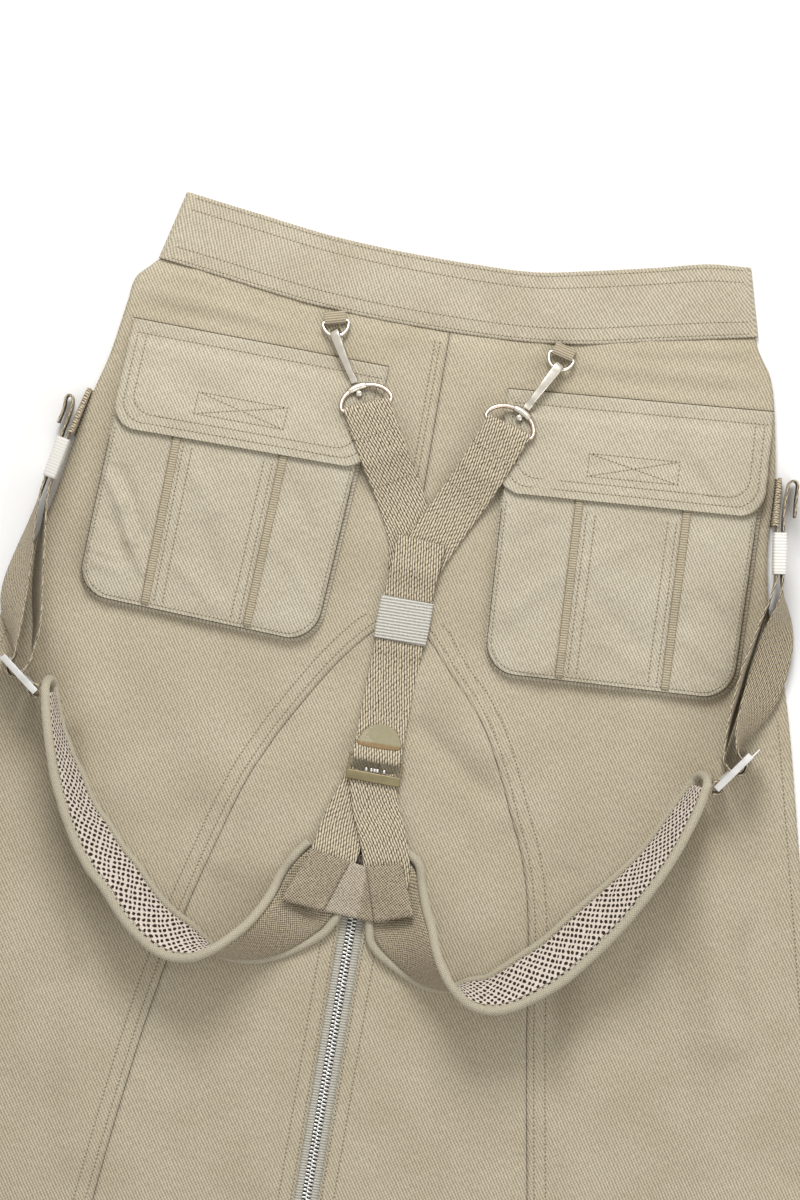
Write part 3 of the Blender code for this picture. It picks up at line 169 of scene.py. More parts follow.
# A fold runs from one place to another, with a half width and a height
SOLID_FOLDS = [
    (-196, 352, -160, 357, 6, 0.8), (-178, 348, -85, 341, 7, -1.4),
    (92, 352, 185, 363, 6, 0.8), (67, 342, 196, 348, 8, -1.4),
    (-235, 60, -160, -150, 26, -1.2), (-285, -60, -215, -330, 30, 1.3),
    (238, 96, 262, -40, 16, -1.2), (215, 40, 250, -190, 22, 1.1),
    (60, -150, 78, -400, 30, -1.0), (-70, -190, -88, -400, 30, 1.0),
    (190, -210, 235, -400, 26, -1.1), (-5, 24, -6, -24, 14, 0.9)]
SOFT_FOLDS = [
    (-190, 352, -150, 357, 5, 0.4), (-198, 343, -107, 336, 6, 0.6),
    (-192, 332, -120, 330, 6, -0.4), (96, 352, 186, 363, 6, 0.4), (74, 340, 196, 345, 6, 0.6),
    (60, 330, 170, 333, 6, -0.4), (-30, 330, -20, 250, 9, -0.5), (18, 330, 24, 270, 9, 0.5),
    (-236, 110, -214, 10, 17, -2.2), (-205, 115, -168, 40, 20, 1.6),
    (-262, 60, -240, -60, 15, 1.8), (-226, 20, -180, -80, 14, -1.8),
    (-175, -40, -150, -190, 18, 1.5), (-140, 118, -96, 40, 22, 0.9),
    (-112, 30, -118, -60, 10, -0.9), (-40, 118, -60, 84, 12, -0.8), (26, 128, 60, 92, 14, 1.1),
    (18, 98, 66, 66, 8, -0.9), (100, 104, 120, 60, 18, 0.9), (150, 130, 190, 30, 24, 1.4),
    (228, 130, 250, 40, 12, -2.2), (206, 60, 232, -60, 16, 1.8), (250, 0, 292, -130, 14, -2.0),
    (180, -20, 214, -170, 18, -1.5), (140, -30, 160, -180, 20, 1.3),
    (-40, -60, -44, -190, 14, 0.8), (48, -70, 60, -190, 14, -0.8),
    (-300, -80, -270, -260, 24, -1.6), (290, -160, 330, -330, 22, 1.6),
    (-210, -180, -230, -380, 26, -1.6), (140, -210, 160, -390, 26, 1.4),
    (-196, 60, -178, -10, 7, -1.0), (120, 20, 128, -110, 10, -1.0), (-84, 60, -92, 0, 9, 0.8),
    (84, 40, 100, -40, 9, -0.8), (262, 60, 286, -40, 8, 1.2)]
print("folds:", len(SOLID_FOLDS), "in the solids,", len(SOFT_FOLDS), "softer ones")

# %% [markdown]
# ## How high the cloth lies
# The front is on the table and the back lies on it, a little puffed up in the middle and down
# at the sides. Long soft folds are hills and valleys along a line. Smaller unevenness is noise,
# drawn out along the length of the skirt because cloth buckles along its threads.


# %% Heights of the skirt
MOST_RISE, SOFTNESS = 3.3, 3.1


def centre_line(y):
    return -2.0 - 0.011 * (WAIST_MIDDLE - y)


def folds(x, y, rows):
    total = np.zeros(np.broadcast(x, y).shape)
    for x0, y0, x1, y1, half_width, height in rows:
        run_x, run_y = x1 - x0, y1 - y0
        t = np.clip(((x - x0) * run_x + (y - y0) * run_y) / (run_x ** 2 + run_y ** 2), 0, 1)
        away = np.hypot(x - x0 - t * run_x, y - y0 - t * run_y)
        total += height * np.exp(-(away / half_width) ** 2)
    return total


def front_lift(x, y):
    """The front is higher where the side straps run under it."""
    return STRAP_LIFT * ease((y - 160) / 52) * ease((waist_seam(x) - y) / 8)


def seam_pucker(x, y):
    """Small ripples that the sewing draws into the cloth beside each seam."""
    ripple = 0.0
    for edge in (arch_left, arch_right):
        near = np.exp(-np.abs(x - edge(y)) * 0.8 / 7) * ease((APEX - y) / 10)
        ripple = ripple + near * (0.16 * np.sin(y / 2.9 + x / 9) + 0.5 * clouds(x, y, 9, 9, 4.2))
    near = np.exp(-np.abs(x - centre_line(y)) / 8)
    ripple = ripple + near * (0.13 * np.sin(y / 2.4) + 0.3 * clouds(x, y, 8, 8, 1.7))
    near = np.exp((y - waist_seam(x)) / 9)
    return ripple + near * (0.2 * np.sin(x / 2.7) + 0.5 * clouds(x, y, 9, 14, 6.1))


def skirt_top(x, y):
    """The outer face of the back."""
    inset = np.minimum(x - left_side(y), right_side(y) - x)
    below = waist_seam(x) - y
    rise = PUFF * ease(inset / SIDE_FALL) * (0.55 + 0.45 * ease(below / 40))
    rise = np.clip(rise + folds(x, y, SOLID_FOLDS) * ease(inset / 20), 0, MOST_RISE)
    fine = SOFTNESS * folds(x, y, SOFT_FOLDS) + 1.5 * clouds(x, y, 46, 90, 3.3)
    fine = fine + 0.5 * clouds(x, y, 17, 30, 8.8) + seam_pucker(x, y)
    fine = fine * (0.2 + 0.8 * ease(below / 22)) * ease(inset / 24)
    return front_lift(x, y) + 2 * CLOTH + 0.4 + np.maximum(rise + fine, -0.3)


print("the back's middle lies", round(float(skirt_top(0.0, 250.0)), 1), "mm above the table")

# %% [markdown]
# ## Cloth as a closed shell
# A sheet of cloth is a grid of points. Its thickness comes from a Solidify modifier, so the mesh
# is closed and the edge of the cloth shows. Each corner also keeps its place on the flat cloth,
# in millimetres, in a UV map called grain: the weave follows the cloth, not the room.


# %% Making pieces from points
def finish_piece(name, vertices, faces, grain, finishes, nodes=(), indices=None):
    """A mesh in millimetres becomes a piece that rides on the skirt and stands for solids."""
    mesh = bpy.data.meshes.new(name)
    mesh.from_pydata((np.asarray(vertices, float) * MM).tolist(), [], faces)
    if grain is not None:
        layer = mesh.uv_layers.new(name="grain")
        layer.data.foreach_set("uv", np.asarray(grain, np.float32).ravel())
    for finish in finishes:
        mesh.materials.append(finish)
    if indices is not None:
        mesh.polygons.foreach_set("material_index", np.asarray(indices, np.int32))
    mesh.shade_smooth()
    piece = add_object(name, mesh)
    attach(piece, "skirt")
    if nodes:
        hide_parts(*nodes)
    return piece


def grid_faces(rows, columns, wrap=False):
    """Quads of a grid, as vertex numbers and as places in a grain grid one column wider."""
    r, c = np.mgrid[0:rows - 1, 0:columns - (not wrap)]
    corners = [(r, c), (r + 1, c), (r + 1, c + 1), (r, c + 1)]
    quads = np.stack([a * columns + b % columns for a, b in corners], -1).reshape(-1, 4)
    marks = np.stack([a * (columns + wrap) + b for a, b in corners], -1).reshape(-1, 4)
    return quads, marks


def tube_faces(rows, around, first=0):
    """Quads and two end caps of a tube of rings, as vertex numbers."""
    ends = [list(range(around)), list(range((rows - 1) * around, rows * around))[::-1]]
    return [[k + first for k in face]
            for face in grid_faces(rows, around, wrap=True)[0].tolist() + ends]


def turned(faces):
    """The same faces seen from the other side. A quad keeps its first corner."""
    return [face[:1] + face[:0:-1] if len(face) == 4 else face[::-1] for face in faces]


def thicken(piece, wall, offset=-1.0):
    shell = piece.modifiers.new("Cloth", "SOLIDIFY")
    shell.thickness, shell.offset = wall * MM, offset
    return piece


def sheet(name, points, grain, wall, finish, nodes=(), offset=-1.0, wrap=False):
    """A cloth shell from a grid of points. Wrapped, its last column joins its first."""
    quads, marks = grid_faces(*points.shape[:2], wrap=wrap)
    piece = finish_piece(name, points.reshape(-1, 3), quads.tolist(),
                         grain.reshape(-1, 2)[marks.ravel()], [finish], nodes)
    return thicken(piece, wall, offset)


def carried(centre, first, second, x, y):
    """A section carried along a line. x and y are its places along two directions."""
    first, second = (np.atleast_2d(way)[:, None] for way in (first, second))
    return centre[:, None] + first * x[..., None] + second * y[..., None]


def band(name, rings, finishes, nodes=(), grain=None, indices=None):
    """A closed band through rings of points, with flat ends."""
    rows, around = rings.shape[:2]
    marks = grid_faces(rows, around, wrap=True)[1]
    grain = np.zeros((rows, around + 1, 2)) if grain is None else grain
    corners = np.concatenate([grain.reshape(-1, 2)[marks.ravel()], grain[0, :-1],
                              grain[-1, :-1][::-1]])
    if indices is not None:
        indices = np.concatenate([np.tile(indices, rows - 1), [0, 0]])
    piece = finish_piece(name, rings.reshape(-1, 3), tube_faces(rows, around), corners, finishes,
                         nodes, indices)
    bm = bmesh.new()
    bm.from_mesh(piece.data)
    bmesh.ops.recalc_face_normals(bm, faces=bm.faces)
    bm.to_mesh(piece.data)
    bm.free()
    return piece


# %% [markdown]
# ## Writing shader sums as Python
# A weave is a sum of waves. Python expressions are easier to read than a web of nodes, so one
# small class wraps a socket, and each + or * on it adds a Math node. All its other nodes come
# from one method.


# %% Shader sums
class Yarn:
    """A value inside a finish. Sums on it add Math nodes."""

    def __init__(self, tree, socket=None):
        self.tree = tree
        self.socket = socket

    def node(self, kind, settings=None, sockets=None, out=0):
        """Adds a node: first its settings, then the values or links of its sockets."""
        made = self.tree.nodes.new("ShaderNode" + kind)
        for name, value in (settings or {}).items():
            setattr(made, name, value)
        for name, value in (sockets or {}).items():
            if isinstance(value, Yarn):
                self.tree.links.new(value.socket, made.inputs[name])
            else:
                made.inputs[name].default_value = value
        return Yarn(self.tree, made.outputs[out])

    def maths(self, operation, *others):
        return self.node("Math", {"operation": operation}, dict(enumerate((self, *others))))

    def __add__(self, other):
        return self.maths("ADD", other)

    def __sub__(self, other):
        return self.maths("SUBTRACT", other)

    def __rsub__(self, other):
        return self.node("Math", {"operation": "SUBTRACT"}, {0: other, 1: self})

    def __mul__(self, other):
        return self.maths("MULTIPLY", other)

    def __truediv__(self, other):
        return self.maths("DIVIDE", other)

    __radd__ = __add__
    __rmul__ = __mul__

    def wave(self, pitch):
        """A wave between 0 and 1 that repeats every pitch."""
        return (self * (math.tau / pitch)).maths("SINE") * 0.5 + 0.5

    def step(self, low, high):
        """0 below low, 1 above high, soft between them."""
        return self.node("MapRange", {"interpolation_type": "SMOOTHSTEP"},
                         {0: self, 1: low, 2: high, 3: 0.0, 4: 1.0})

    def tint(self, dark, light):
        """A colour between two, by this value."""
        pair = [value if isinstance(value, Yarn) else (*value, 1) for value in (dark, light)]
        return self.node("Mix", {"data_type": "RGBA"}, {0: self, 6: pair[0], 7: pair[1]}, out=2)


# %% Starting and finishing a finish
def tone(red, green, blue):
    """A screen colour of 0 to 255 as the shader's linear colour."""
    return tuple(((c / 255 + 0.055) / 1.055) ** 2.4 for c in (red, green, blue))


def scaled(colour, factor):
    return tuple(min(c * factor, 1) for c in colour)


def start_finish(name, slot, roughness=0.9, metallic=0.0, **settings):
    """A new finish, its first value, and its shader with the constant sockets set."""
    finish = bpy.data.materials.new(name)
    finish.use_nodes = True
    finish["slot"] = slot
    shader = finish.node_tree.nodes["Principled BSDF"]
    for socket, value in dict(Roughness=roughness, Metallic=metallic, **settings).items():
        shader.inputs[socket.replace("_", " ")].default_value = value
    return finish, Yarn(finish.node_tree), shader


def start_cloth(*about, **settings):
    """A new finish with its places across and along the cloth, in millimetres."""
    finish, yarn, shader = start_finish(*about, **settings)
    grain = yarn.node("UVMap", {"uv_map": "grain"})
    u, v = (yarn.node("SeparateXYZ", {}, {0: grain}, out=axis) for axis in (0, 1))
    return finish, u, v, shader


def cloud(u, v, size, detail=2.0, stretch=1.0):
    """Noise over the cloth, about 0.5 on average."""
    place = u.node("CombineXYZ", {}, {0: u / size, 1: v / (size * stretch)})
    return u.node("TexNoise", {}, {"Vector": place, "Scale": 1.0, "Detail": detail})


def close_finish(shader, colour, height=None, relief=0.3, roughness=None):
    """Links a colour, a height in parts of relief millimetres and perhaps a roughness."""
    ends = {"Base Color": colour, "Roughness": roughness}
    if height is not None:
        ends["Normal"] = height.node("Bump", {}, {"Strength": 1.0, "Distance": relief * MM,
                                                  "Height": height})
    for name, value in ends.items():
        if value is not None:
            shader.id_data.links.new(value.socket, shader.inputs[name])


# %% [markdown]
# ## Khaki twill
# Twill shows fine slanted ridges. Here a wave across the slant makes the ridges, a second one
# along them makes the single floats, and two sizes of noise stand for uneven yarn and for the
# faded, washed look of the cloth.


# %% Twill
RIDGE, FLOAT = 1.8, 1.7
SLANT = (0.839, 0.545)      # the ridges stand 33 degrees off the threads


def make_twill(name, shade):
    finish, u, v, shader = start_cloth(name, "khaki_twill", 0.92, Sheen_Weight=0.15,
                                       Sheen_Roughness=0.5, Specular_IOR_Level=0.2)
    wobble = cloud(u, v, 6.0) * 1.1
    ridge = (u * SLANT[0] + v * SLANT[1] + wobble).wave(RIDGE)
    floats = (v * SLANT[0] - u * SLANT[1] + wobble).wave(FLOAT)
    weave = ridge * 0.5 + floats * 0.16 + cloud(u, v, 1.2, 3.0, stretch=2.5) * 0.7
    faded = cloud(u, v, 44.0, 2.5) * 0.8 + cloud(u, v, 7.0, 3.0) * 0.2
    washed = faded.step(0.3, 0.7).tint((0.95, 0.932, 0.902), (1.035, 1.035, 1.035))
    woven = weave.step(0.25, 1.1).tint(scaled(shade, 0.63), scaled(shade, 1.32))
    colour = u.node("Mix", {"data_type": "RGBA", "blend_type": "MULTIPLY"},
                    {0: 1.0, 6: woven, 7: washed}, out=2)
    close_finish(shader, colour, weave, 0.27)
    return finish


twill = make_twill("twill", tone(184, 174, 152))
band_twill = make_twill("twill_band", tone(186, 177, 157))
pocket_twill = make_twill("twill_pocket", tone(188, 180, 161))
print("twill finishes:", twill.name, band_twill.name, pocket_twill.name)

# %% [markdown]
# ## Webbing, ribbon and elastic
# Heavy webbing is knitted in slanted columns. Grosgrain and zip tape are ribbed across. Elastic
# has fine lines across, each the edge of a gathered rubber. All three are waves again, but their
# directions and pitches differ.


# %% Webbing
COLUMN, LOOP = 1.6, 3.2


def make_webbing(name, dark, light):
    """Slanted columns of long loops, every other one half a loop further on."""
    finish, u, v, shader = start_cloth(name, "khaki_webbing", 0.85, Sheen_Weight=0.1,
                                       Specular_IOR_Level=0.25)
    wobble = cloud(u, v, 4.0) * 1.2
    place = (u * 0.97 + v * 0.2 + wobble) / COLUMN
    share = place.maths("FRACT")
    odd = (place * 0.5).maths("FRACT").step(0.499, 0.501)
    loop = (v + odd * (LOOP / 2) - share * 0.9 + wobble).wave(LOOP)
    height = (share * math.pi).maths("SINE") * (loop * 0.5 + 0.5)
    uneven = cloud(u, v, 1.6, 3.0)
    close_finish(shader, (height + uneven * 0.8).step(0.45, 1.15).tint(dark, light),
                 height + uneven * 0.4, 0.45)
    return finish


def make_ribbed(name, dark, light, slot, pitch, relief=0.15, roughness=0.8, edge=99.0,
                painted_shade_within=-1.0):
    """Ribs across a tape, one every pitch along it. A painted shadow darkens one side beyond edge,
    and a middle strip can be dark painted shade.
    """
    finish, u, v, shader = start_cloth(name, slot, roughness, Sheen_Weight=0.1,
                                       Specular_IOR_Level=0.3)
    rib = (v + cloud(u, v, 4.0) * 0.3).wave(pitch)
    uneven = cloud(u, v, 1.5, 3.0)
    shade = (rib * 0.6 + uneven * 0.6).step(0.15, 1.0)
    # Painted shadow: one side of the tape, beyond edge, is darkened as if shaded along that edge.
    shade = shade * (1 - 0.8 * (0 - u).step(edge, edge + 0.3))
    # Painted shade: within the middle strip the tape is dark, for the shade between the zip teeth.
    colour = u.maths("ABSOLUTE").step(painted_shade_within - 0.2, painted_shade_within).tint(tone(66, 58, 50),
                                                               shade.tint(dark, light))
    close_finish(shader, colour, rib + uneven * 0.3, relief)
    return finish


webbing = make_webbing("webbing", tone(64, 50, 32), tone(219, 206, 179))
webbing_dim = make_webbing("webbing_side", tone(62, 49, 33), tone(208, 194, 166))
# The grosgrain ribbons carry a painted shadow along one edge.
grosgrain = make_ribbed("grosgrain", tone(132, 119, 95), tone(196, 186, 162),
                        "khaki_grosgrain", 1.5, edge=1.8)
tab_cloth = make_ribbed("grosgrain_tab", tone(138, 126, 102), tone(194, 182, 158),
                        "khaki_grosgrain", 1.5)
elastic = make_ribbed("elastic", tone(150, 146, 136), tone(224, 221, 212), "white_elastic", 1.9,
                      relief=0.3, roughness=0.7)
# The zip tape's dark middle, under the teeth, is painted shade.
zip_tape = make_ribbed("zip_tape", tone(136, 132, 120), tone(208, 205, 194), "grey_zip_tape", 1.7,
                       relief=0.12, painted_shade_within=2.9)
# A brighter copy of the elastic: painted light for the side keepers, which face away from the lamp.
elastic_side = make_ribbed("elastic_side", tone(216, 213, 205), tone(250, 249, 245),
                           "white_elastic", 1.9, roughness=0.7)
print("tapes:", webbing.name, grosgrain.name, elastic.name, zip_tape.name)

# %% [markdown]
# ## Pads, leather, canvas, thread and metal
# The padded straps have a spacer mesh on the wearer's side: an open lattice over dark foam.
# Leather has a fine pebble. Metal is one colour, and what makes it look real is how its
# roughness changes from place to place, with painted shade on its steep sides.


# %% Pad cloths and leather
def make_spacer(name, thread, hole):
    """An open net, drawn out across the pad because the pad stands nearly on edge."""
    finish, u, v, shader = start_cloth(name, "pad_cloth", 0.85, Specular_IOR_Level=0.3)
    wobble = cloud(u, v, 7.0) * 0.8
    across, along = u / 6.4 + wobble, v / 4.6 + wobble * 0.7
    net = 1 - ((across + along).wave(1.0) * (across - along).wave(1.0)).step(0.2, 0.42)
    close_finish(shader, (net * (0.55 + 0.7 * cloud(u, v, 1.4, 3.0))).tint(hole, thread), net, 0.7)
    return finish


def make_canvas(name, dark, light, slot, pitch=1.9):
    finish, u, v, shader = start_cloth(name, slot, 0.9, Sheen_Weight=0.15, Specular_IOR_Level=0.2)
    warp, weft = u.wave(pitch), v.wave(pitch)
    basket = warp * weft + (1 - warp) * (1 - weft)
    uneven = cloud(u, v, 1.5, 3.0)
    close_finish(shader, (basket * 0.6 + uneven * 0.6).step(0.2, 1.0).tint(dark, light),
                 basket + uneven * 0.5, 0.35)
    return finish


LEATHER_STRIP = 87.0      # where the leather's browner lower strip ends


def make_leather(name, edge, middle):
    finish, u, v, shader = start_cloth(name, "grey_green_leather", 0.6, Coat_Weight=0.08,
                                       Specular_IOR_Level=0.4)
    place = u.node("CombineXYZ", {}, {0: u, 1: v})
    pebble = u.node("TexVoronoi", {"feature": "DISTANCE_TO_EDGE"}, {"Vector": place, "Scale": 1.3})
    blotch = cloud(u, v, 4.0, 4.0)
    # The leather is browner below a line across its lower strip.
    browner_strip = (v - LEATHER_STRIP + blotch * 1.5).step(0.6, 1.8)
    close_finish(shader, (browner_strip * (0.75 + 0.5 * blotch)).tint(edge, middle),
                 pebble.step(0.0, 0.2), 0.12, 0.5 + 0.25 * blotch)
    return finish


spacer = make_spacer("pad_mesh", tone(230, 219, 207), tone(48, 35, 27))
pad_outer = make_canvas("pad_outer", tone(62, 49, 32), tone(216, 202, 174), "pad_cloth", 2.0)
binding = make_canvas("pad_binding", tone(166, 157, 134), tone(204, 197, 176), "pad_binding", 1.7)
yoke_cloth = make_canvas("yoke_cloth", tone(56, 44, 29), tone(210, 196, 170), "yoke_tape")
# A lighter copy of the yoke canvas: painted light for the facet of the patch that catches the lamp.
yoke_light = make_canvas("yoke_light", tone(98, 86, 66), tone(226, 215, 194), "yoke_tape")
leather = make_leather("leather", tone(150, 124, 86), tone(162, 154, 124))
print("pad finishes:", spacer.name, pad_outer.name, binding.name)


# %% Thread and metal
def body_noise(yarn, scale, detail):
    """Noise over the whole object, for finishes that don't follow a cloth."""
    place = yarn.node("TexCoord", out=3)
    return yarn.node("TexNoise", {}, {"Vector": place, "Scale": scale, "Detail": detail})


def make_thread(name, colour):
    finish, yarn, shader = start_finish(name, "khaki_twill", 0.7)
    uneven = body_noise(yarn, 900.0, 1.0)
    close_finish(shader, uneven.tint(scaled(colour, 0.85), scaled(colour, 1.1)), uneven, 0.05)
    return finish


def make_metal(name, slot, colour, rough, sides=1.0, metallic=1.0, worn=0.15):
    """Worn metal. Its steep sides get painted shade: darker by the factor sides, for the dark
    surroundings they would reflect.
    """
    finish, yarn, shader = start_finish(name, slot, rough, metallic, Specular_IOR_Level=0.5)
    smear, grit = body_noise(yarn, 160.0, 5.0), body_noise(yarn, 1800.0, 2.0)
    shade = (smear * 0.6 + grit * 0.4).tint(scaled(colour, 1 - worn), scaled(colour, 1 + worn))
    # Painted shade: faces that turn to the side take the colour times sides, as dark reflected
    # surroundings.
    level = yarn.node("SeparateXYZ", {}, {0: yarn.node("TexCoord", out=1)}, out=2)
    shade = level.maths("ABSOLUTE").step(0.35, 0.82).tint(scaled(colour, sides), shade)
    close_finish(shader, shade, grit + smear * 0.5, 0.02, rough + (smear - 0.5) * 0.3)
    return finish


thread = make_thread("thread", tone(190, 180, 156))
# Painted shade: this dark colour is for the needle holes' dots and the shadow lines under the
# pocket edges.
painted_crevice_shade = make_thread("painted_crevice_shade", tone(94, 82, 62))
# The fifth number of each metal is the painted shade on its steep sides.
nickel = make_metal("nickel", "pale_nickel", tone(240, 233, 219), 0.34, 0.3)
warm_steel = make_metal("warm_steel", "warm_steel", tone(238, 218, 202), 0.34, 0.3)
bright_steel = make_metal("bright_steel", "bright_steel", tone(236, 234, 230), 0.42)
zip_metal = make_metal("zip_metal", "zip_metal", tone(226, 226, 222), 0.3)
# A darker copy of the zip metal for the slider and its pull tab: painted shade for the dark gap
# under the yoke patch.
shaded_zip_metal = make_metal("zip_metal_painted_shade", "zip_metal", tone(112, 103, 92), 0.3, 0.4)
painted = make_metal("painted_metal", "khaki_painted_metal", tone(150, 138, 104), 0.4, 0.1,
                     metallic=0.5, worn=0.25)
print("metals:", nickel.name, warm_steel.name, bright_steel.name, zip_metal.name)

# %% [markdown]
# ## The panels
# Two back panels meet at the centre back seam and curve away below it, and two inserts fill the
# arch between them. Each panel is a grid between its two side seams. Its rows are closer together
# than a fold is wide, so that the folds come out round. The front is hidden below, and plain.


# %% Panels
TUCK = 0.6            # how far a panel's top row goes under the band
ALLOWANCE = 10.0      # the seam allowance round each cut
ZIP_HALF = 7.3        # half the opening that shows the zip


def panel_places(edges, rows, columns):
    """Plan places of a panel: rows from waist to hem, columns from seam to seam."""
    rows = rows[:, None]
    share = (WAIST_MIDDLE - rows) / (WAIST_MIDDLE - HEM_CENTRE)

    def offset(x):
        waist = waist_seam(x) - WAIST_MIDDLE
        return waist * (1 - share) ** 4 + HEM_RISE * (x / HEM_HALF) ** 2 * share ** 3

    ends = []
    for edge in edges:
        y = rows
        for _ in range(5):
            x = edge(y)
            y = rows + offset(x)
        ends.append(x)
    u = np.linspace(0, 1, columns)
    x = ends[0] * (1 - u) + ends[1] * u
    y = rows + offset(x)
    y[0] += TUCK if rows[0, 0] == WAIST_MIDDLE else 0
    return x, y


def cut_of(points):
    """Width, length and area of the cut in metres, from the plan with its seam allowances."""
    x, y = points[..., 0], points[..., 1]
    width, length = np.ptp(x) + 2 * ALLOWANCE, np.ptp(y) + 2 * ALLOWANCE
    wide = 2 * ALLOWANCE + x.max(1) - x.min(1)
    area = float(np.sum((wide[1:] + wide[:-1]) / 2 * np.abs(np.diff(y.mean(1))))
                 + 2 * ALLOWANCE * wide.mean())
    return (width * MM, length * MM), min(area * MM * MM, width * length * MM * MM)


def declare(piece, points, rests_on=(), with_pieces=()):
    flat, area = cut_of(points)
    print(f"{piece.name}: cut {flat[0]:.3f} x {flat[1]:.3f} m, {area:.4f} m2")


def back_edge(arch, sign):
    return lambda y: np.where(y > APEX, centre_line(y), arch(y)) + sign * SEAM


def zip_opening(y):
    """Half the distance between the two inserts along the centre."""
    return SEAM + (ZIP_HALF - SEAM) * ease((26 - y) / 13)


panel_rows = np.concatenate([
    [346.0, 344.5], np.linspace(342, 172, 78), [170.5, 169, 166.5, 164, 160.5, 157],
    np.linspace(153, -200, 130), np.linspace(-206, -411, 44), [-413.5]])
insert_rows = panel_rows[panel_rows < APEX - 1]
PANELS = {
    "back_left": ((left_side, back_edge(arch_left, -1)), panel_rows, 70),
    "back_right": ((back_edge(arch_right, 1), right_side), panel_rows, 70),
    "insert_left": ((lambda y: arch_left(y) + SEAM, lambda y: centre_line(y) - zip_opening(y)),
                    insert_rows, 40),
    "insert_right": ((lambda y: centre_line(y) + zip_opening(y), lambda y: arch_right(y) - SEAM),
                     insert_rows, 40),
    "front": ((left_side, right_side), np.linspace(346, -413.5, 90), 60)}
panels = {}
for name, about in PANELS.items():
    x, y = panel_places(*about)
    node, height = name, skirt_top
    if name == "front":
        node, height = "front_panel", lambda x, y: front_lift(x, y) + CLOTH
    points = together(x, y, height(x, y))
    panels[name] = sheet("cloth_" + name, points, together(x, y), CLOTH, twill, [node]), points
print("panels:", len(panel_rows), "rows")

# %% [markdown]
# ## The waistband
# One shaped band goes all round and lies flat, so it is a flattened tube: the back on top, a
# half-round turn at each side and the front below. The middle of the band stands up a little
# between its rows of topstitching, and the stitching draws small ripples into both edges.

# %% Waistband
BAND_FRONT, BAND_BACK, BAND_WALL = 1.0, 3.8, 2.0
TOP_HALF, LOW_HALF = 174, 185


def band_height(across, x):
    """The band's outer face, from its top edge (0) to the waist seam (1)."""
    y, bow = across * 40, np.sin(math.pi * across)
    edge_ripple = (np.exp(-across * 36 / 6) + np.exp(-(1 - across) * 36 / 6)) * (
        0.16 * np.sin(x / 2.3) + 0.5 * clouds(x, y, 9, 9, 2.2))
    lumps = 1.3 * clouds(x, y, 24, 30, 5.5) + 0.6 * clouds(x, y, 9, 16, 7.5)
    return 0.5 * bow + edge_ripple + lumps * bow


def band_places(share, down):
    """Plan places on the band, at a share of its width and of its depth."""
    x_top, x_low = TOP_HALF * (2 * share - 1), LOW_HALF * (2 * share - 1)
    return (x_top * (1 - down) + x_low * down,
            waist_top(x_top) * (1 - down) + waist_seam(x_low) * down)


turn, middle = (BAND_BACK - BAND_FRONT) / 2, (BAND_BACK + BAND_FRONT) / 2
bend = np.radians([60, 30, 0, -30, -60])
back_run, front_run = np.linspace(0, 1, 150), np.linspace(1, 0, 40)
share = np.concatenate([back_run, np.ones(5), front_run, np.zeros(5)])
reach = np.concatenate([0 * back_run, turn * np.cos(bend), 0 * front_run, -turn * np.cos(bend)])
level = np.concatenate([0 * back_run + BAND_BACK, middle + turn * np.sin(bend),
                        0 * front_run + BAND_FRONT, middle - turn * np.sin(bend)])
down = np.linspace(0, 1, 36)[:, None]
x, y = band_places(share, down)
x = x + reach
z = level + np.where(level > middle + turn * 0.9, band_height(down, x), 0)
length = length_along(together(share * 360, level))
waistband = sheet("cloth_waistband", together(x, y, z),
                  together(np.append(length, length[-1] + 2), down * -41.0), BAND_WALL,
                  band_twill, ["waistband"], offset=0, wrap=True)
print("waistband:", x.shape)

# %% [markdown]
# ## The pockets
# A bellows pocket stands away from the skirt on a gusset, and its flap hangs from above its
# mouth. The bag and the flap are grids between four corners with rounded lower corners. A bag
# that has been worn and washed sags between its ribbons, so its face gets soft lumps.

# %% Pockets
BAG_HEIGHT, MOUTH_HEIGHT, MOUTH, BAG_CORNER = 7.5, 2.0, 0.10, 19.0
FLAP_WALL, FLAP_CORNER, FLAP_ROOT = 1.6, 15.0, 9.0
RIBBON_HALF, RIBBON_WALL, RIBBON_LIFT, FLAP_LIFT = 2.5, 0.7, 0.45, 0.95
BAGS = {"left": ((-196, 322), (-42, 318), (-206, 151), (-56, 142)),
        "right": ((43, 315), (202, 325), (51, 141), (205, 147))}
FLAPS = {"left": ((-197, 324), (-36, 318), (-201, 256), (-40, 253)),
         "right": ((39, 316), (204, 327), (41, 252), (207, 261))}
BAG_FOLDS = {
    "left": [(-196.4, 223.1, -186.5, 208.4, 3.6, 1.5), (-186.5, 208.4, -177.7, 187.7, 3.6, 1.6),
             (-177.7, 187.7, -166.9, 170.6, 3.6, 1.5), (-190, 228, -172, 192, 4.5, -1.4),
             (-190, 196, -181, 176, 4.5, -0.8), (-201.5, 179.1, -186.6, 176.3, 2.2, 0.9),
             (-200, 172, -184, 168, 2.4, 0.8),
             (-150, 240, -128, 214, 6, 0.9), (-134, 200, -120, 168, 6, -0.8),
             (-110, 236, -94, 196, 7, 0.9), (-86, 240, -70, 214, 5, -0.9),
             (-78, 190, -62, 168, 5, 0.9), (-146, 176, -120, 156, 5, 0.8)],
    "right": [(85, 144, 98.5, 162, 3, 0.9), (60, 178, 84, 204, 6, 0.9),
              (58, 222, 76, 236, 6, -0.8), (100, 212, 132, 234, 6, 0.9),
              (112, 196, 140, 172, 6, -0.8), (120, 170, 146, 158, 5, 0.8),
              (150, 232, 168, 192, 6, -0.9), (176, 240, 192, 206, 6, 1.0),
              (170, 180, 196, 164, 5, 0.8), (180, 206, 198, 184, 5, -0.8)]}
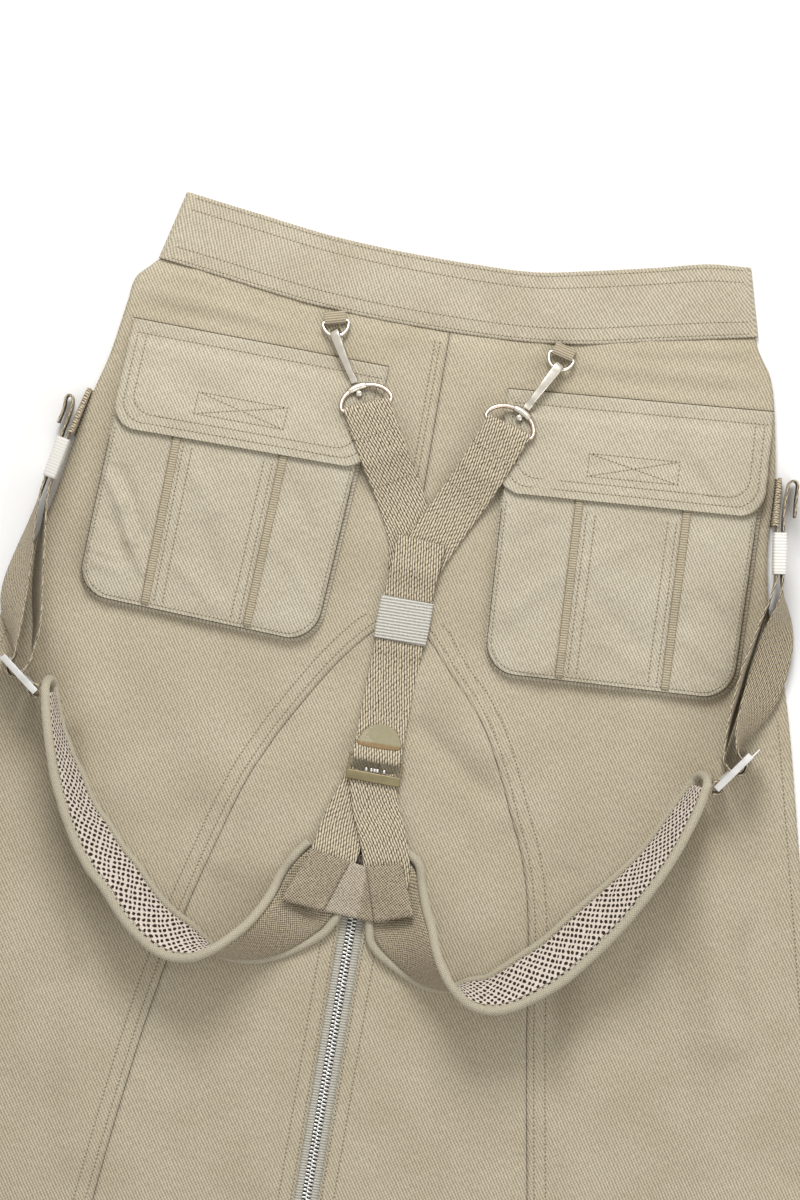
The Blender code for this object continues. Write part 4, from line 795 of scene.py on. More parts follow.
FLAP_FOLDS = {
    "left": [(-150, 300, -110, 284, 7, 0.7), (-96, 300, -66, 276, 6, -0.6),
             (-180, 288, -160, 268, 6, 0.6), (-70, 300, -52, 282, 5, 0.7)],
    "right": [(152, 288, 178, 266, 6, -0.8), (164, 292, 184, 270, 5, 0.8),
              (66, 300, 96, 286, 7, 0.7), (100, 276, 128, 264, 6, -0.6)]}
RIBBONS = {"left": ((0.265, 0.285), (0.705, 0.715)), "right": ((0.300, 0.300), (0.725, 0.727))}


def corner_place(corners, s, t):
    """A place in a four-cornered piece: s along its top edge, t down it."""
    s, t = (v[..., None] for v in np.broadcast_arrays(s, t))
    tl, tr, bl, br = np.array(corners, float)
    return (tl * (1 - s) + tr * s) * (1 - t) + (bl * (1 - s) + br * s) * t


def piece_size(corners):
    return math.dist(corners[0], corners[1]), math.dist(corners[0], corners[2])


def corner_share(corners, x, y):
    """The s and t of a place, found by Newton steps, and its distance from the edges."""
    place = together(x, y).astype(float)
    s = np.full(place.shape[:-1], 0.5)
    t = s.copy()
    for _ in range(6):
        at = corner_place(corners, s, t)
        ds = (corner_place(corners, s + 0.01, t) - at) * 100
        dt = (corner_place(corners, s, t + 0.01) - at) * 100
        left = place - at
        area = ds[..., 0] * dt[..., 1] - dt[..., 0] * ds[..., 1]
        s = s + (left[..., 0] * dt[..., 1] - left[..., 1] * dt[..., 0]) / area
        t = t + (left[..., 1] * ds[..., 0] - left[..., 0] * ds[..., 1]) / area
    width, depth = piece_size(corners)
    return s, t, np.minimum(np.minimum(s, 1 - s) * width, (1 - t) * depth)


def bag_rise(side, x, y):
    """How far the bag's face stands off the panel."""
    s, t, edge = corner_share(BAGS[side], x, y)
    rise = MOUTH_HEIGHT + (BAG_HEIGHT - MOUTH_HEIGHT) * ease(t / 0.45)
    rise = rise - 0.9 * ease(1 - edge / 7)
    seed = {"left": 11.0, "right": 23.0}[side]
    lumps = 1.1 * clouds(x, y, 30, 44, seed) + 0.5 * clouds(x, y, 12, 18, seed + 3)
    lumps = lumps + 1.7 * folds(x, y, BAG_FOLDS[side])
    edge_ripple = np.exp(-edge / 5) * 0.55 * clouds(x, y, 7, 7, seed + 5)
    return rise + lumps * ease((t - 0.12) / 0.3) + edge_ripple


def bag_top(side, x, y):
    return skirt_top(x, y) + bag_rise(side, x, y)


def flap_top(side, x, y):
    s, t, edge = corner_share(FLAPS[side], x, y)
    over_bag = bag_rise(side, x, y) + FLAP_LIFT + FLAP_WALL
    root = FLAP_WALL + GAP
    past_root = t * piece_size(FLAPS[side])[1] - FLAP_ROOT
    rise = root + (over_bag - root) * ease(past_root / 8) + 0.9 * np.clip(t, 0, 1) ** 2
    seed = {"left": 31.0, "right": 47.0}[side]
    ripple = np.exp(-edge / 5) * (0.45 * clouds(x, y, 7, 7, seed) + 0.12 * np.sin((x + y) / 2.2))
    lumps = np.abs(clouds(x, y, 22, 22, seed + 2)) * 0.6 + 1.6 * folds(x, y, FLAP_FOLDS[side]) + 0.5
    return skirt_top(x, y) + rise + lumps * ease(edge / 14) + np.abs(ripple)


def on_pocket(top, side, corners, s, t, lift=0.0):
    """Points over a pocket piece, at shares across and down it."""
    plan = corner_place(corners, s, t)
    return raised(plan, top(side, plan[..., 0], plan[..., 1]) + lift)


def pocket_rows(corners, corner, start, straight, arc):
    """Share of the depth, and inset of both ends, of each row of a round-bottomed piece."""
    width, depth = piece_size(corners)
    low = 1 - corner / depth
    angle = np.linspace(0, math.pi / 2, arc + 1)
    upper = np.linspace(start, low, straight, endpoint=False)
    return np.concatenate([
        together(upper, 0.0),
        together(low + corner * np.sin(angle) / depth, corner * (1 - np.cos(angle)) / width)])


def round_trip(rows, bottom):
    """Shares down one side of a pocket piece, along its bottom and up the other side."""
    t, inset = rows.T
    return (np.concatenate([inset, bottom, 1 - inset[::-1]]),
            np.concatenate([t, np.ones(len(bottom)), t[::-1]]))


def bag_outline(corners, rows, grow):
    """The bag's edge, moved out by grow."""
    points = corner_place(corners, *round_trip(rows, [0.3, 0.5, 0.7]))
    way = unit(np.gradient(points, axis=0))
    return points + together(way[:, 1], -way[:, 0]) * grow


def pocket_sheet(part, side, corners, rows, columns, top, wall):
    inset = rows[:, 1:]
    s = inset + (1 - 2 * inset) * np.linspace(0, 1, columns)
    points = on_pocket(top, side, corners, s, rows[:, :1])
    node = f"{part}_{side}"
    return sheet("cloth_" + node, points, points[..., :2], wall, pocket_twill, [node]), points


def make_gusset(side):
    """The bellows between the bag's edge and the skirt: two folds seen from the side."""
    rows = pocket_rows(BAGS[side], BAG_CORNER, MOUTH, 40, 10)[1:]
    levels = np.array([0.0, 0.12, 0.24, 0.3, 0.36, 0.42, 0.5, 0.58, 0.66, 0.7, 0.8, 1.0])
    reach = np.array([0.9, 1.3, 1.6, 1.4, 0.0, -1.8, -2.8, -1.8, -0.6, -0.4, -0.6, -1.4])
    grid = []
    for level, grow in zip(levels, reach):
        plan = bag_outline(BAGS[side], rows, grow) + np.array([0.8, -0.5]) * (1 - level)
        foot = skirt_top(*plan.T) + 0.5
        head = bag_top(side, *plan.T) - CLOTH - 0.5
        grid.append(raised(plan, foot + (head - foot) * level))
    points = np.array(grid)
    length = length_along(points[0])
    piece = sheet("cloth_gusset_" + side, points, together(length, levels[:, None] * 12), 0.9,
                  pocket_twill, ["gusset_" + side], offset=0)
    "cloth_back_" + side


def make_ribbon(side, number, shares):
    rows = pocket_rows(BAGS[side], BAG_CORNER, MOUTH, 60, 8)[:, 0]
    t = rows[(rows > 0.3) & (rows < 0.995)][:, None]
    across = np.linspace(-1, 1, 7) * RIBBON_HALF
    s = (shares[0] + (shares[1] - shares[0]) * (t - 0.3) / 0.7
         + across / piece_size(BAGS[side])[0])
    points = on_pocket(bag_top, side, BAGS[side], s, t, RIBBON_LIFT + RIBBON_WALL)
    node = f"ribbon_{side}_{number}"
    return sheet(node + "_cloth", points, together(across, t * 170.0), RIBBON_WALL, grosgrain,
                 [node])


for side in SIDES:
    bag = pocket_sheet("bag", side, BAGS[side],
                       pocket_rows(BAGS[side], BAG_CORNER, MOUTH, 60, 12), 64, bag_top, CLOTH)
    ribbons = [make_ribbon(side, n, shares) for n, shares in enumerate(RIBBONS[side], 1)]
    declare(*bag, rests_on=["cloth_back_" + side], with_pieces=ribbons)
    flap = pocket_sheet("flap", side, FLAPS[side],
                        pocket_rows(FLAPS[side], FLAP_CORNER, 0.0, 34, 10), 72, flap_top,
                        FLAP_WALL)
    declare(*flap, rests_on=["cloth_bag_" + side])
    make_gusset(side)

# %% [markdown]
# ## The zip
# A metal zip is two tapes with a row of small teeth clamped to the edge of each. The teeth of
# one side stand in the gaps of the other. One tooth is made, a small block with soft corners,
# and repeated along the line of the zip.

# %% Zip
ZIP_TOP, ZIP_END, TAPE_WALL = 14.0, -398.0, 0.7
TOOTH_PITCH, TOOTH_REACH = 2.4, 1.2


def make_zip_tape(side, sign):
    y = np.linspace(ZIP_TOP, ZIP_END, 160)[:, None]
    reach = sign * (0.1 + 11.0 * np.linspace(0, 1, 7))[::sign]
    x = centre_line(y) + reach
    points = together(x, y, skirt_top(x, y) - CLOTH - GAP - 0.1)
    return sheet(f"zip_tape_{side}_cloth", points, together(reach, y), TAPE_WALL, zip_tape,
                 ["zip_tape_" + side])


def repeat_shape(name, template, faces, places, finishes, nodes=(), indices=None):
    """Many copies of one small shape; places is (count, 4, 3): origin and three axes."""
    vertices = (places[:, :1] + np.einsum("vk,nkc->nvc", template, places[:, 1:])).reshape(-1, 3)
    every = [[k + n * len(template) for k in face] for n in range(len(places)) for face in faces]
    if indices is not None:
        indices = np.tile(indices, len(places))
    return finish_piece(name, vertices, every, None, finishes, nodes, indices)


def soft_block(width, length, height, corner=0.25):
    """A block with a narrower top, as eight-cornered rings from bottom to top."""
    rings = []
    for level, shrink in ((-1, 0.0), (0.55, 0.0), (1, corner)):
        w, l = width / 2 - shrink, length / 2 - shrink
        c = min(corner, w, l)
        ring = [(-w + c, -l), (w - c, -l), (w, -l + c), (w, l - c), (w - c, l), (-w + c, l),
                (-w, l - c), (-w, -l + c)]
        rings += [(x, y, level * height / 2) for x, y in ring]
    return np.array(rings), turned(tube_faces(3, 8))


places = []
for sign in (-1, 1):
    first = ZIP_TOP - 3.5 - (TOOTH_PITCH / 2 if sign > 0 else 0)
    y = np.arange(first, ZIP_END + 1, -TOOTH_PITCH)
    x = centre_line(y) + sign * TOOTH_REACH
    z = skirt_top(x, y) - 1.2
    way = unit(together(0.011, 1.0, np.gradient(z, y)))
    up = np.cross([1.0, 0, 0], way)
    places.append(np.stack([together(x, y, z), np.cross(way, up), way, up], 1))
tapes = [make_zip_tape("left", -1), make_zip_tape("right", 1)]
teeth = repeat_shape("zip_teeth", *soft_block(3.3, 1.45, 1.9), np.concatenate(places),
                     [zip_metal], ["zip_chain"])
print("zip teeth:", len(teeth.data.vertices) // 24)

# %% [markdown]
# ## Hard parts from the solids
# Rings, snap hooks, the slider and the adjusters have the right shape already, but few faces.
# Each is copied and refined: bent wire gets a subdivision surface, and stamped plates get a
# small bevel, because no stamped edge is perfectly sharp.


# %% Hard parts
def welded(node):
    """The node's mesh with its corners joined again."""
    bm = bmesh.new()
    bm.from_mesh(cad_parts[node].data)
    bmesh.ops.remove_doubles(bm, verts=bm.verts, dist=1e-6)
    return bm


def end_ring(bm, sides):
    """The corners of a tube's flat end: a compact level patch with that many corners."""
    for face in bm.faces:
        patch, fresh = {face}, [face]
        while fresh:
            near = {f for edge in fresh.pop().edges for f in edge.link_faces} - patch
            near = {f for f in near if f.normal.angle(face.normal) < 0.003}
            patch |= near
            fresh += near
        ring = {vertex for f in patch for vertex in f.verts}
        middle = sum((vertex.co for vertex in ring), Vector()) / len(ring)
        reach = [(vertex.co - middle).length for vertex in ring]
        if len(ring) == sides and max(reach) < 3 * min(reach):
            return ring
    raise ValueError("no flat end")


def rings_of(node, sides):
    """The rings of a tube's points, in order from one of its flat ends."""
    bm = welded(node)
    bm.normal_update()
    bm.verts.index_update()
    ring, seen, rings = end_ring(bm, sides), set(), []
    while ring:
        in_order = sorted(ring, key=lambda vertex: vertex.index)
        rings.append(np.array([vertex.co[:] for vertex in in_order]) / MM)
        seen |= ring
        ring = {edge.other_vert(v) for v in ring for edge in v.link_edges} - seen
    bm.free()
    return rings


def refined(node, finish, body="skirt", levels=0, swell=0.0, bevel=0.0):
    """A smoother copy of a hard part, standing for its solid."""
    bm = welded(node)
    if levels:
        bmesh.ops.join_triangles(bm, faces=bm.faces, angle_face_threshold=math.radians(50),
                                 angle_shape_threshold=math.radians(80))
        bm.normal_update()
        for vertex, step in [(vertex, vertex.normal * swell * MM) for vertex in bm.verts]:
            vertex.co += step
    else:
        bmesh.ops.dissolve_limit(bm, angle_limit=math.radians(2), verts=bm.verts, edges=bm.edges)
    mesh = bpy.data.meshes.new(node + "_metal")
    bm.to_mesh(mesh)
    bm.free()
    mesh.materials.append(finish)
    mesh.shade_smooth()
    piece = add_object(node + "_metal", mesh)
    if levels:
        smooth = piece.modifiers.new("Round", "SUBSURF")
        smooth.levels = smooth.render_levels = levels
    else:
        edge = piece.modifiers.new("Soft edge", "BEVEL")
        edge.width, edge.segments = bevel * MM, 3
        edge.limit_method, edge.angle_limit = "ANGLE", math.radians(35)
        edge.harden_normals = True
    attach(piece, body)
    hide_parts(node)
    return piece


for side in SIDES:
    refined("strap_ring_" + side, warm_steel, levels=2, swell=0.42)
    refined("waist_ring_" + side, nickel, levels=2, swell=0.35)
    refined("gate_" + side, nickel, body="gate_" + side, levels=2, swell=0.05)
    refined("swivel_" + side, nickel, levels=1, swell=0.05)
    refined("adjuster_" + side, bright_steel, bevel=0.45)
refined("centre_buckle", painted, bevel=0.6)
refined("zip_slider", shaded_zip_metal, bevel=0.3)
refined("pull_tab", shaded_zip_metal, body="pull_tab", bevel=0.25)
print("hard parts refined")


# %% Snap hooks
PIN = ((1.8, -1.6), (2.0, -0.4), (2.3, 0.0), (2.2, 0.6), (1.5, 1.1), (0.5, 1.3))
PIN_REACH = 3.6
HOOK_SPACING, HOOK_HALF, HOOK_SWELL, ROUNDNESS = 0.7, 1.25, 0.45, 0.45


def circle(count):
    turn = np.linspace(0, math.tau, count, endpoint=False)
    return np.cos(turn), np.sin(turn)


def make_hook(side):
    """A flat forged bar with rounded corners, carried along the rings of the hook's solid."""
    rings = rings_of("hook_" + side, 8)
    centres, sideways = np.array([ring.mean(0) for ring in rings]), []
    for ring, centre in zip(rings, centres):
        axis = np.linalg.svd(ring - centre)[2][0]
        if sideways and axis @ sideways[-1] < 0:
            axis = -axis
        sideways.append(axis * (np.abs((ring - centre) @ axis).max() + HOOK_SWELL))
    wanted, centres, sideways, way = resampled(
        length_along(centres), HOOK_SPACING, centres, np.array(sideways),
        np.gradient(centres, axis=0))
    turn = np.radians([14, 32, 45, 58, 76, 104, 122, 135, 148, 166])
    turn = np.concatenate([turn, turn + math.pi])
    x, y = (np.sign(v) * np.abs(v) ** ROUNDNESS for v in (np.cos(turn), np.sin(turn)))
    rings = carried(centres, sideways, unit(np.cross(way, sideways)), x, HOOK_HALF * y)
    band(f"hook_{side}_metal", rings, [nickel], ["hook_" + side])
    print("hook", side, "is", round(wanted[-1]), "mm along its bar")


def make_pin(side):
    """The riveted end of the swivel, inside the strap's ring."""
    centre, hook = (np.mean(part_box(node + side), 0) / MM for node in ("swivel_", "hook_"))
    centre = centre + unit((centre - hook) * [1, 1, 0]) * PIN_REACH
    radius, level = np.array(PIN).T
    x, y = circle(16)
    rings = carried(centre + level[:, None] * [0, 0, 1], np.array([1.0, 0, 0]),
                    np.array([0, 1.0, 0]), radius[:, None] * x, radius[:, None] * y)
    band(f"pin_{side}", rings, [nickel])


for side in SIDES:
    make_hook(side)
    make_pin(side)

# %% [markdown]
# ## Straps that follow their solids
# A strap's solid is a chain of pairs of points, one pair at each edge for every station along
# it. Walking round the solid from pair to pair gives both edges of the strap. Smooth curves
# through the edges then carry a finer section with rounded edges, and a place on the flat strap
# for each of its points.


# %% Reading the edges of a strap
def wall_pairs(bm, wall):
    """Pairs of points that stand a wall apart, and which pairs are side by side."""
    pairs, owner = [], {}
    for edge in bm.edges:
        a, b = edge.verts
        if (abs(edge.calc_length() / MM - wall) < 0.004 and a.index not in owner
                and b.index not in owner):
            owner[a.index] = owner[b.index] = len(pairs)
            pairs.append((a, b))
    links = {}
    for edge in bm.edges:
        link = tuple(sorted(owner.get(v.index, -1) for v in edge.verts))
        if link[0] >= 0 and link[0] != link[1]:
            links[link] = links.get(link, 0) + 1
    beside = {k: [] for k in range(len(pairs))}
    for (a, b), count in links.items():
        if count >= 3:
            beside[a].append(b)
            beside[b].append(a)
    return pairs, beside


def walk(beside, start):
    chain, last = [start], None
    while True:
        onward = [k for k in beside[chain[-1]] if k != last and k not in chain[1:]
                  and (k != start or len(chain) == 1)]
        if not onward:
            return chain
        last = chain[-1]
        chain.append(onward[0])


def strap_edges(node, wall, start_near):
    """Both edges and the face normal at each station, from the end nearest to a place."""
    bm = welded(node)
    bm.verts.index_update()
    pairs, beside = wall_pairs(bm, wall)
    places = np.array([[a.co[:], b.co[:]] for a, b in pairs]) / MM
    middle, span = places.mean(1), places[:, 1] - places[:, 0]
    bm.free()
    ends = [k for k, near in beside.items() if len(near) == 1]
    if ends:
        one = walk(beside, ends[0])
        other = walk(beside, next(k for k in ends if k not in one))
        if (math.dist(middle[one[0]], middle[other[0]])
                > math.dist(middle[one[0]], middle[other[-1]])):
            other.reverse()
    else:
        loop = walk(beside, 0)
        step = np.linalg.norm(middle[np.roll(loop, -1)] - middle[loop], axis=1)
        half = len(loop) // 2
        cut, end = max(((a, b) for a in range(half + 1) for b in range(a + half - 1, a + half + 2)
                        if b < len(loop)), key=lambda ends: step[ends[0]] + step[ends[1]])
        loop = np.roll(loop, -cut - 1).tolist()
        one, other = loop[:end - cut], loop[end - cut:][::-1]
    if math.dist(middle[one[0]], start_near) > math.dist(middle[one[-1]], start_near):
        one, other = one[::-1], other[::-1]
    if len(one) < len(other):
        one, other = other, one
    normals = span[one]
    for k in range(1, len(normals)):
        if normals[k] @ normals[k - 1] < 0:
            normals[k] *= -1
    one, other = middle[one], middle[other]
    while len(one) > len(other):
        tries = [np.insert(other, k, (other[k - 1] + other[k]) / 2, 0)
                 for k in range(1, len(other))]
        other = min(tries, key=lambda t: np.linalg.norm(one[:len(t)] - t, axis=1).std())
    return one, other, normals


def strap_stations(node, wall, start_near, spacing=1.5):
    """Finer stations along a strap: centre, half width vector, unit normal, and length."""
    one, other, normals = strap_edges(node, wall, start_near)
    steps = (np.diff(length_along(one)) + np.diff(length_along(other))) / 2
    places = np.append(0, np.cumsum(np.maximum(steps, 0.05)))
    wanted, one, other, normals = resampled(places, spacing, one, other, normals)
    centre, half = (one + other) / 2, (other - one) / 2
    normals -= half * (np.sum(normals * half, 1) / np.sum(half * half, 1))[:, None]
    return centre, half, unit(normals), wanted


FLAT_SECTION = [(-1, -0.25), (-0.985, -0.8), (-0.93, -1), (-0.7, -1), (-0.35, -1), (0, -1),
                (0.35, -1), (0.7, -1), (0.93, -1), (0.985, -0.8), (1, -0.25)]
UNEVEN = 0.12


def strap(node, wall, finish, start_near):
    """Webbing along a solid's path, with a rounded edge and slightly uneven faces."""
    centre, half, normals, length = strap_stations(node, wall, start_near)
    section = np.array(FLAT_SECTION + [(-x, -y) for x, y in FLAT_SECTION])
    wander = clouds(length, 0 * length, 14, 1, len(node) * 1.7) * UNEVEN
    rings = carried(centre, half, normals, section[:, 0],
                    section[:, 1] * (wall / 2 - 0.02) + wander[:, None])
    width = np.linalg.norm(half, axis=1).mean()
    across = length_along(np.append(section, section[:1], 0) * [width, wall / 2])
    piece = band(node + "_cloth", rings, [finish], [node], together(across, length[:, None]))
    print(piece.name, "is", round(width * 2, 1), "mm wide and", round(length[-1]), "mm long")
    return centre, half, normals, length


WEBBING, TAB_WALL = 1.4, 0.7
stations = {}
for side, sign in zip(SIDES, (-1, 1)):
    for part, finish, start, wall in (
            ("upper_webbing_", webbing, (sign * 5, 197, 12), WEBBING),
            ("lower_webbing_", webbing, (sign * 15, 0, 12), WEBBING),
            ("side_webbing_", webbing_dim, (sign * 98, 322, 1), WEBBING),
            ("pad_loop_", webbing_dim, (sign * 210, 86, 22), WEBBING),
            ("waist_tab_", tab_cloth, (sign * 70, 346, 6), TAB_WALL)):
        stations[part + side] = strap(part + side, wall, finish, start)
strap("centre_webbing", WEBBING, webbing, (-6, 90, 8))

# %% [markdown]
# ## The padded straps
# A pad is two cloths with foam between them: spacer mesh on the wearer's side and canvas on the
# other. It is thickest in the middle and pulled thin at the binding. Its two edges come from the
# solid, and a crowned section is carried along them.

# %% Pads
PAD_EDGE, PAD_WALL, PAD_COLUMNS = 2.25, 5.0, 17


def make_pad(side, start_near, inside):
    node = "pad_" + side
    centre, half, normals, length = strap_stations(node, PAD_EDGE, start_near, 1.6)
    middle = len(centre) // 2
    if normals[middle] @ (np.array(inside) - centre[middle]) < 0:
        normals = -normals
    x = np.linspace(-1, 1, PAD_COLUMNS)
    x, face = np.append(x, x[::-1]), np.repeat([1.0, -1.0], PAD_COLUMNS)
    crown = PAD_EDGE / 2 + (PAD_WALL - PAD_EDGE) / 2 * np.sqrt(np.clip(1 - x ** 4, 0, 1))
    lumps = 0.35 * clouds(x * 20, length[:, None], 12, 12, 61.0) * (1 - x ** 2)
    rings = carried(centre, half, normals, x, face * (crown + lumps * (face > 0)))
    across = np.append(x, x[0]) * np.linalg.norm(half, axis=1).mean()
    indices = (np.arange(2 * PAD_COLUMNS) >= PAD_COLUMNS - 1).astype(int)
    piece = band(node + "_cloth", rings, [spacer, pad_outer], [node],
                 together(across, length[:, None]), indices)
    return centre, half, normals, length


pads = [make_pad("left", (-30, 8, 15), (-105, 60, 25)),
        make_pad("right", (12, 6, 15), (85, 60, 25))]
print("pads are", [round(float(pad[3][-1])) for pad in pads], "mm long")


# %% Bindings
BINDING, BINDING_SIDES = 2.9, 12


def tube_along(line, spacing, up):
    """A finer line, the distance along it, and a direction square to it and to up."""
    wanted, line = resampled(length_along(line), spacing, line)
    way = unit(np.gradient(line, axis=0))
    first = unit(np.cross(way, up))
    return line, wanted, first, np.cross(way, first)


for side in SIDES:
    centres = np.array([ring.mean(0) for ring in rings_of("binding_" + side, 6)])
    line, length, first, second = tube_along(centres, 1.5, [0.3, 0.2, 1.0])
    plump = BINDING * (1 + 0.05 * clouds(length, 0 * length, 9, 1, 71.0))[:, None]
    x, y = circle(BINDING_SIDES)
    around = np.linspace(0, math.tau * BINDING, BINDING_SIDES + 1)
    band(f"binding_{side}_cloth", carried(line, first, second, plump * x, plump * y), [binding],
         ["binding_" + side], together(around, length[:, None]))
    print("binding", side, "is", round(length[-1]), "mm long")

# %% [markdown]
# ## Small soft parts of the harness
# Elastic keepers hold the strap ends, a half-moon of leather covers the end of the centre
# webbing, and a patch of canvas at the middle joins the pads to the lower webbing.


# %% Keepers, half moon and yoke
def soft_copy(node, finish, along_way):
    """A refined copy of a small soft solid, with its grain along a direction."""
    piece = refined(node, finish, levels=2)
    piece.name = node + "_cloth"
    smooth = piece.evaluated_get(bpy.context.evaluated_depsgraph_get())
    mesh = bpy.data.meshes.new_from_object(smooth)
    piece.modifiers.clear()
    piece.data = mesh
    way = unit(np.array(along_way, float))
    places = np.array([mesh.vertices[loop.vertex_index].co[:] for loop in mesh.loops]) / MM
    grain = together(places @ np.cross(way, [0.0, 0, 1]), places @ way)
    mesh.uv_layers.new(name="grain").data.foreach_set("uv", grain.astype(np.float32).ravel())
    return piece


soft_copy("keeper_left", elastic_side, (0.21, 1, 0))
soft_copy("keeper_right", elastic_side, (-0.13, 1, 0))
soft_copy("keeper_centre", elastic, (0, 1, 0.02))
half_moon = soft_copy("half_moon", leather, (0, 1, 0))
middle = np.mean(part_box("half_moon"), 0)
for vertex in half_moon.data.vertices:
    for axis, share in ((0, 1.1), (1, 1.2)):
        vertex.co[axis] = middle[axis] + (vertex.co[axis] - middle[axis]) * share
print("small soft parts done")

# %% Yoke patch
YOKE_SQUARES = [[(-38, 16.2), (-12.8, 12), (-51.5, -17.8), (-24.9, -21)],
                [(-2.6, 10.2), (18.7, 15.5), (7.5, -23.4), (30.7, -14.9)]]
YOKE_MIDDLE = [(-13.3, 12.0), (-2.0, 10.2), (-25.4, -21), (8.0, -23.4)]
YOKE_COUNT, YOKE_WALL = 15, 1.1


def patch_heights(tree, plan):
    """Heights of a solid under plan places, with its hollows filled and smoothed."""
    z = np.full(plan.shape[:2], np.nan)
    for r, c in np.ndindex(z.shape):
        hit = tree.ray_cast(Vector((*(plan[r, c] * MM), 0.2)), Vector((0, 0, -1)))[0]
        z[r, c] = np.nan if hit is None else hit.z / MM
    known = ~np.isnan(z)
    for r, c in np.argwhere(~known):
        z[r, c] = z[known][np.hypot(*(plan[known] - plan[r, c]).T).argmin()]
    for _ in range(3):
        wide = np.pad(z, 1, mode="edge")
        z = (wide[:-2, 1:-1] + wide[2:, 1:-1] + wide[1:-1, :-2] + wide[1:-1, 2:] + 2 * z) / 6
    return z


def make_yoke():
    """Two folded squares of canvas over a base, as high as the patch's solid. One triangle of the
    base is painted lighter, as a lit facet.
    """
    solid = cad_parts["yoke_patch"].data
    tree = BVHTree.FromPolygons([vertex.co for vertex in solid.vertices],
                                [list(face.vertices) for face in solid.polygons])
    share = np.linspace(0, 1, YOKE_COUNT)
    near_end = np.minimum(share, 1 - share)
    edge = np.minimum(near_end, near_end[:, None])
    quads, marks = grid_faces(YOKE_COUNT, YOKE_COUNT)
    r, c = np.mgrid[0:YOKE_COUNT - 1, 0:YOKE_COUNT - 1]
    points, faces, grain, indices = [], [], [], []
    for number, corners in enumerate(YOKE_SQUARES + [YOKE_MIDDLE]):
        plan = corner_place(corners, share[None], share[:, None])
        z = patch_heights(tree, plan)
        if number < 2:
            z = z + 0.75 + 0.35 * ease(edge / 0.12)
            z = z + 0.25 * clouds(plan[..., 0], plan[..., 1], 8, 8, 5)
        faces += (quads + number * YOKE_COUNT ** 2).tolist()
        grain.append(plan.reshape(-1, 2)[marks.ravel()])
        # Painted light: this triangle of the base takes the lighter canvas.
        indices += ((number == 2) & (c < 12 - r * 0.25)).ravel().tolist()
        points.append(raised(plan, z).reshape(-1, 3))
    piece = finish_piece("yoke_patch_cloth", np.concatenate(points), faces, np.concatenate(grain),
                         [yoke_cloth, yoke_light], ["yoke_patch"], indices)
    return thicken(piece, YOKE_WALL)


def make_prongs():
    """The small teeth of the buckle's bar, which bite into the webbing in its slot."""
    places = np.zeros((5, 4, 3))
    places[:, 0] = np.mean(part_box("centre_buckle"), 0) / MM + [0, -0.6, 0.4]
    places[:, 0, 0] += [-5.0, -1.8, 0.2, 2.0, 6.2]
    places[:, 1:] = np.eye(3)
    repeat_shape("buckle_prongs", *soft_block(1.5, 2.4, 1.2, 0.3), places, [bright_steel])


make_prongs()
make_yoke()
print("yoke patch over", len(YOKE_SQUARES), "squares")

# %% [markdown]
# ## Sewing
# Topstitching is what makes cloth look sewn. One stitch is a short capsule of thread, and at
# each end of it a flat dark dot is painted shade for the needle hole. Both are repeated along
# the seam lines, pressed a little into the cloth.

# %% Stitches
STITCH, THREAD, HOLE, LIFT = 2.5, 0.3, 0.38, 0.12


def stitch_shape():
    """A capsule of thread along Y and a flat dark dot behind it, painted shade for the needle hole.
    """
    turn = [math.tau * k / 6 for k in range(6)]
    capsule = [(THREAD * radius * math.cos(a) * 1.2, y, THREAD * radius * math.sin(a))
               for y, radius in ((-0.85, 0.35), (-0.6, 0.9), (0.6, 0.9), (0.85, 0.35))
               for a in turn]
    dot = [(HOLE * math.cos(a), STITCH / 2 + HOLE * math.sin(a), level)
           for level in (-0.12, 0.06) for a in turn]
    faces = turned(tube_faces(4, 6) + tube_faces(2, 6, 24))
    return np.array(capsule + dot), faces, [0] * 20 + [1] * 8


def row_places(line, up=None):
    """Places and axes of the stitches along a line of points."""
    keep = np.append(True, np.diff(length_along(line)) > 1e-6)
    line = line[keep]
    places = length_along(line)
    count = max(int(places[-1] / STITCH), 1)
    wanted = (np.arange(count) + 0.5) * places[-1] / count

    def at(where, table):
        return np.stack([np.interp(where, places, column) for column in table.T], -1)

    way = unit(at(wanted + 0.5, line) - at(wanted - 0.5, line))
    up = np.tile([0.0, 0, 1], (count, 1)) if up is None else at(wanted, up[keep])
    across = unit(np.cross(way, up))
    return np.stack([at(wanted, line), across, way, np.cross(across, way)], 1)


def sew(name, lines):
    """Stitches along lines. Each is a line of points, or such a line and its up directions."""
    template, faces, indices = stitch_shape()
    places = np.concatenate([row_places(*line) if isinstance(line, tuple) else row_places(line)
                             for line in lines])
    repeat_shape(name, template, faces, places, [thread, painted_crevice_shade], indices=indices)
    print(name, len(places), "stitches")


def on_skirt(x, y):
    return together(x, y, skirt_top(x, y) + LIFT)


# %% Seams of the panels
lines = []
y = np.linspace(166, -408, 500)
for arch, sign in ((arch_left, -1), (arch_right, 1)):
    lean = np.sqrt(1 + np.gradient(arch(y), y) ** 2)
    lines += [on_skirt(arch(y) + sign * reach * lean, y) for reach in (4.5, 11.5)]
y = np.linspace(340, 175, 200)
lines += [on_skirt(centre_line(y) + reach, y) for reach in (-5.0, -8.2)]
y = np.linspace(8, -404, 400)
lines += [on_skirt(centre_line(y) + reach, y) for reach in (-9.3, -17.0, 9.3, 17.0)]
y = np.linspace(140, -370, 500)
lines += [on_skirt(left_side(y) + 7.0, y), on_skirt(right_side(y) - 7.0, y)]
x = np.linspace(-352, 352, 600)
hem = HEM_CENTRE + HEM_RISE * (x / HEM_HALF) ** 2
sew("stitches_panels", lines + [on_skirt(x, hem + reach) for reach in (18.0, 24.0)])

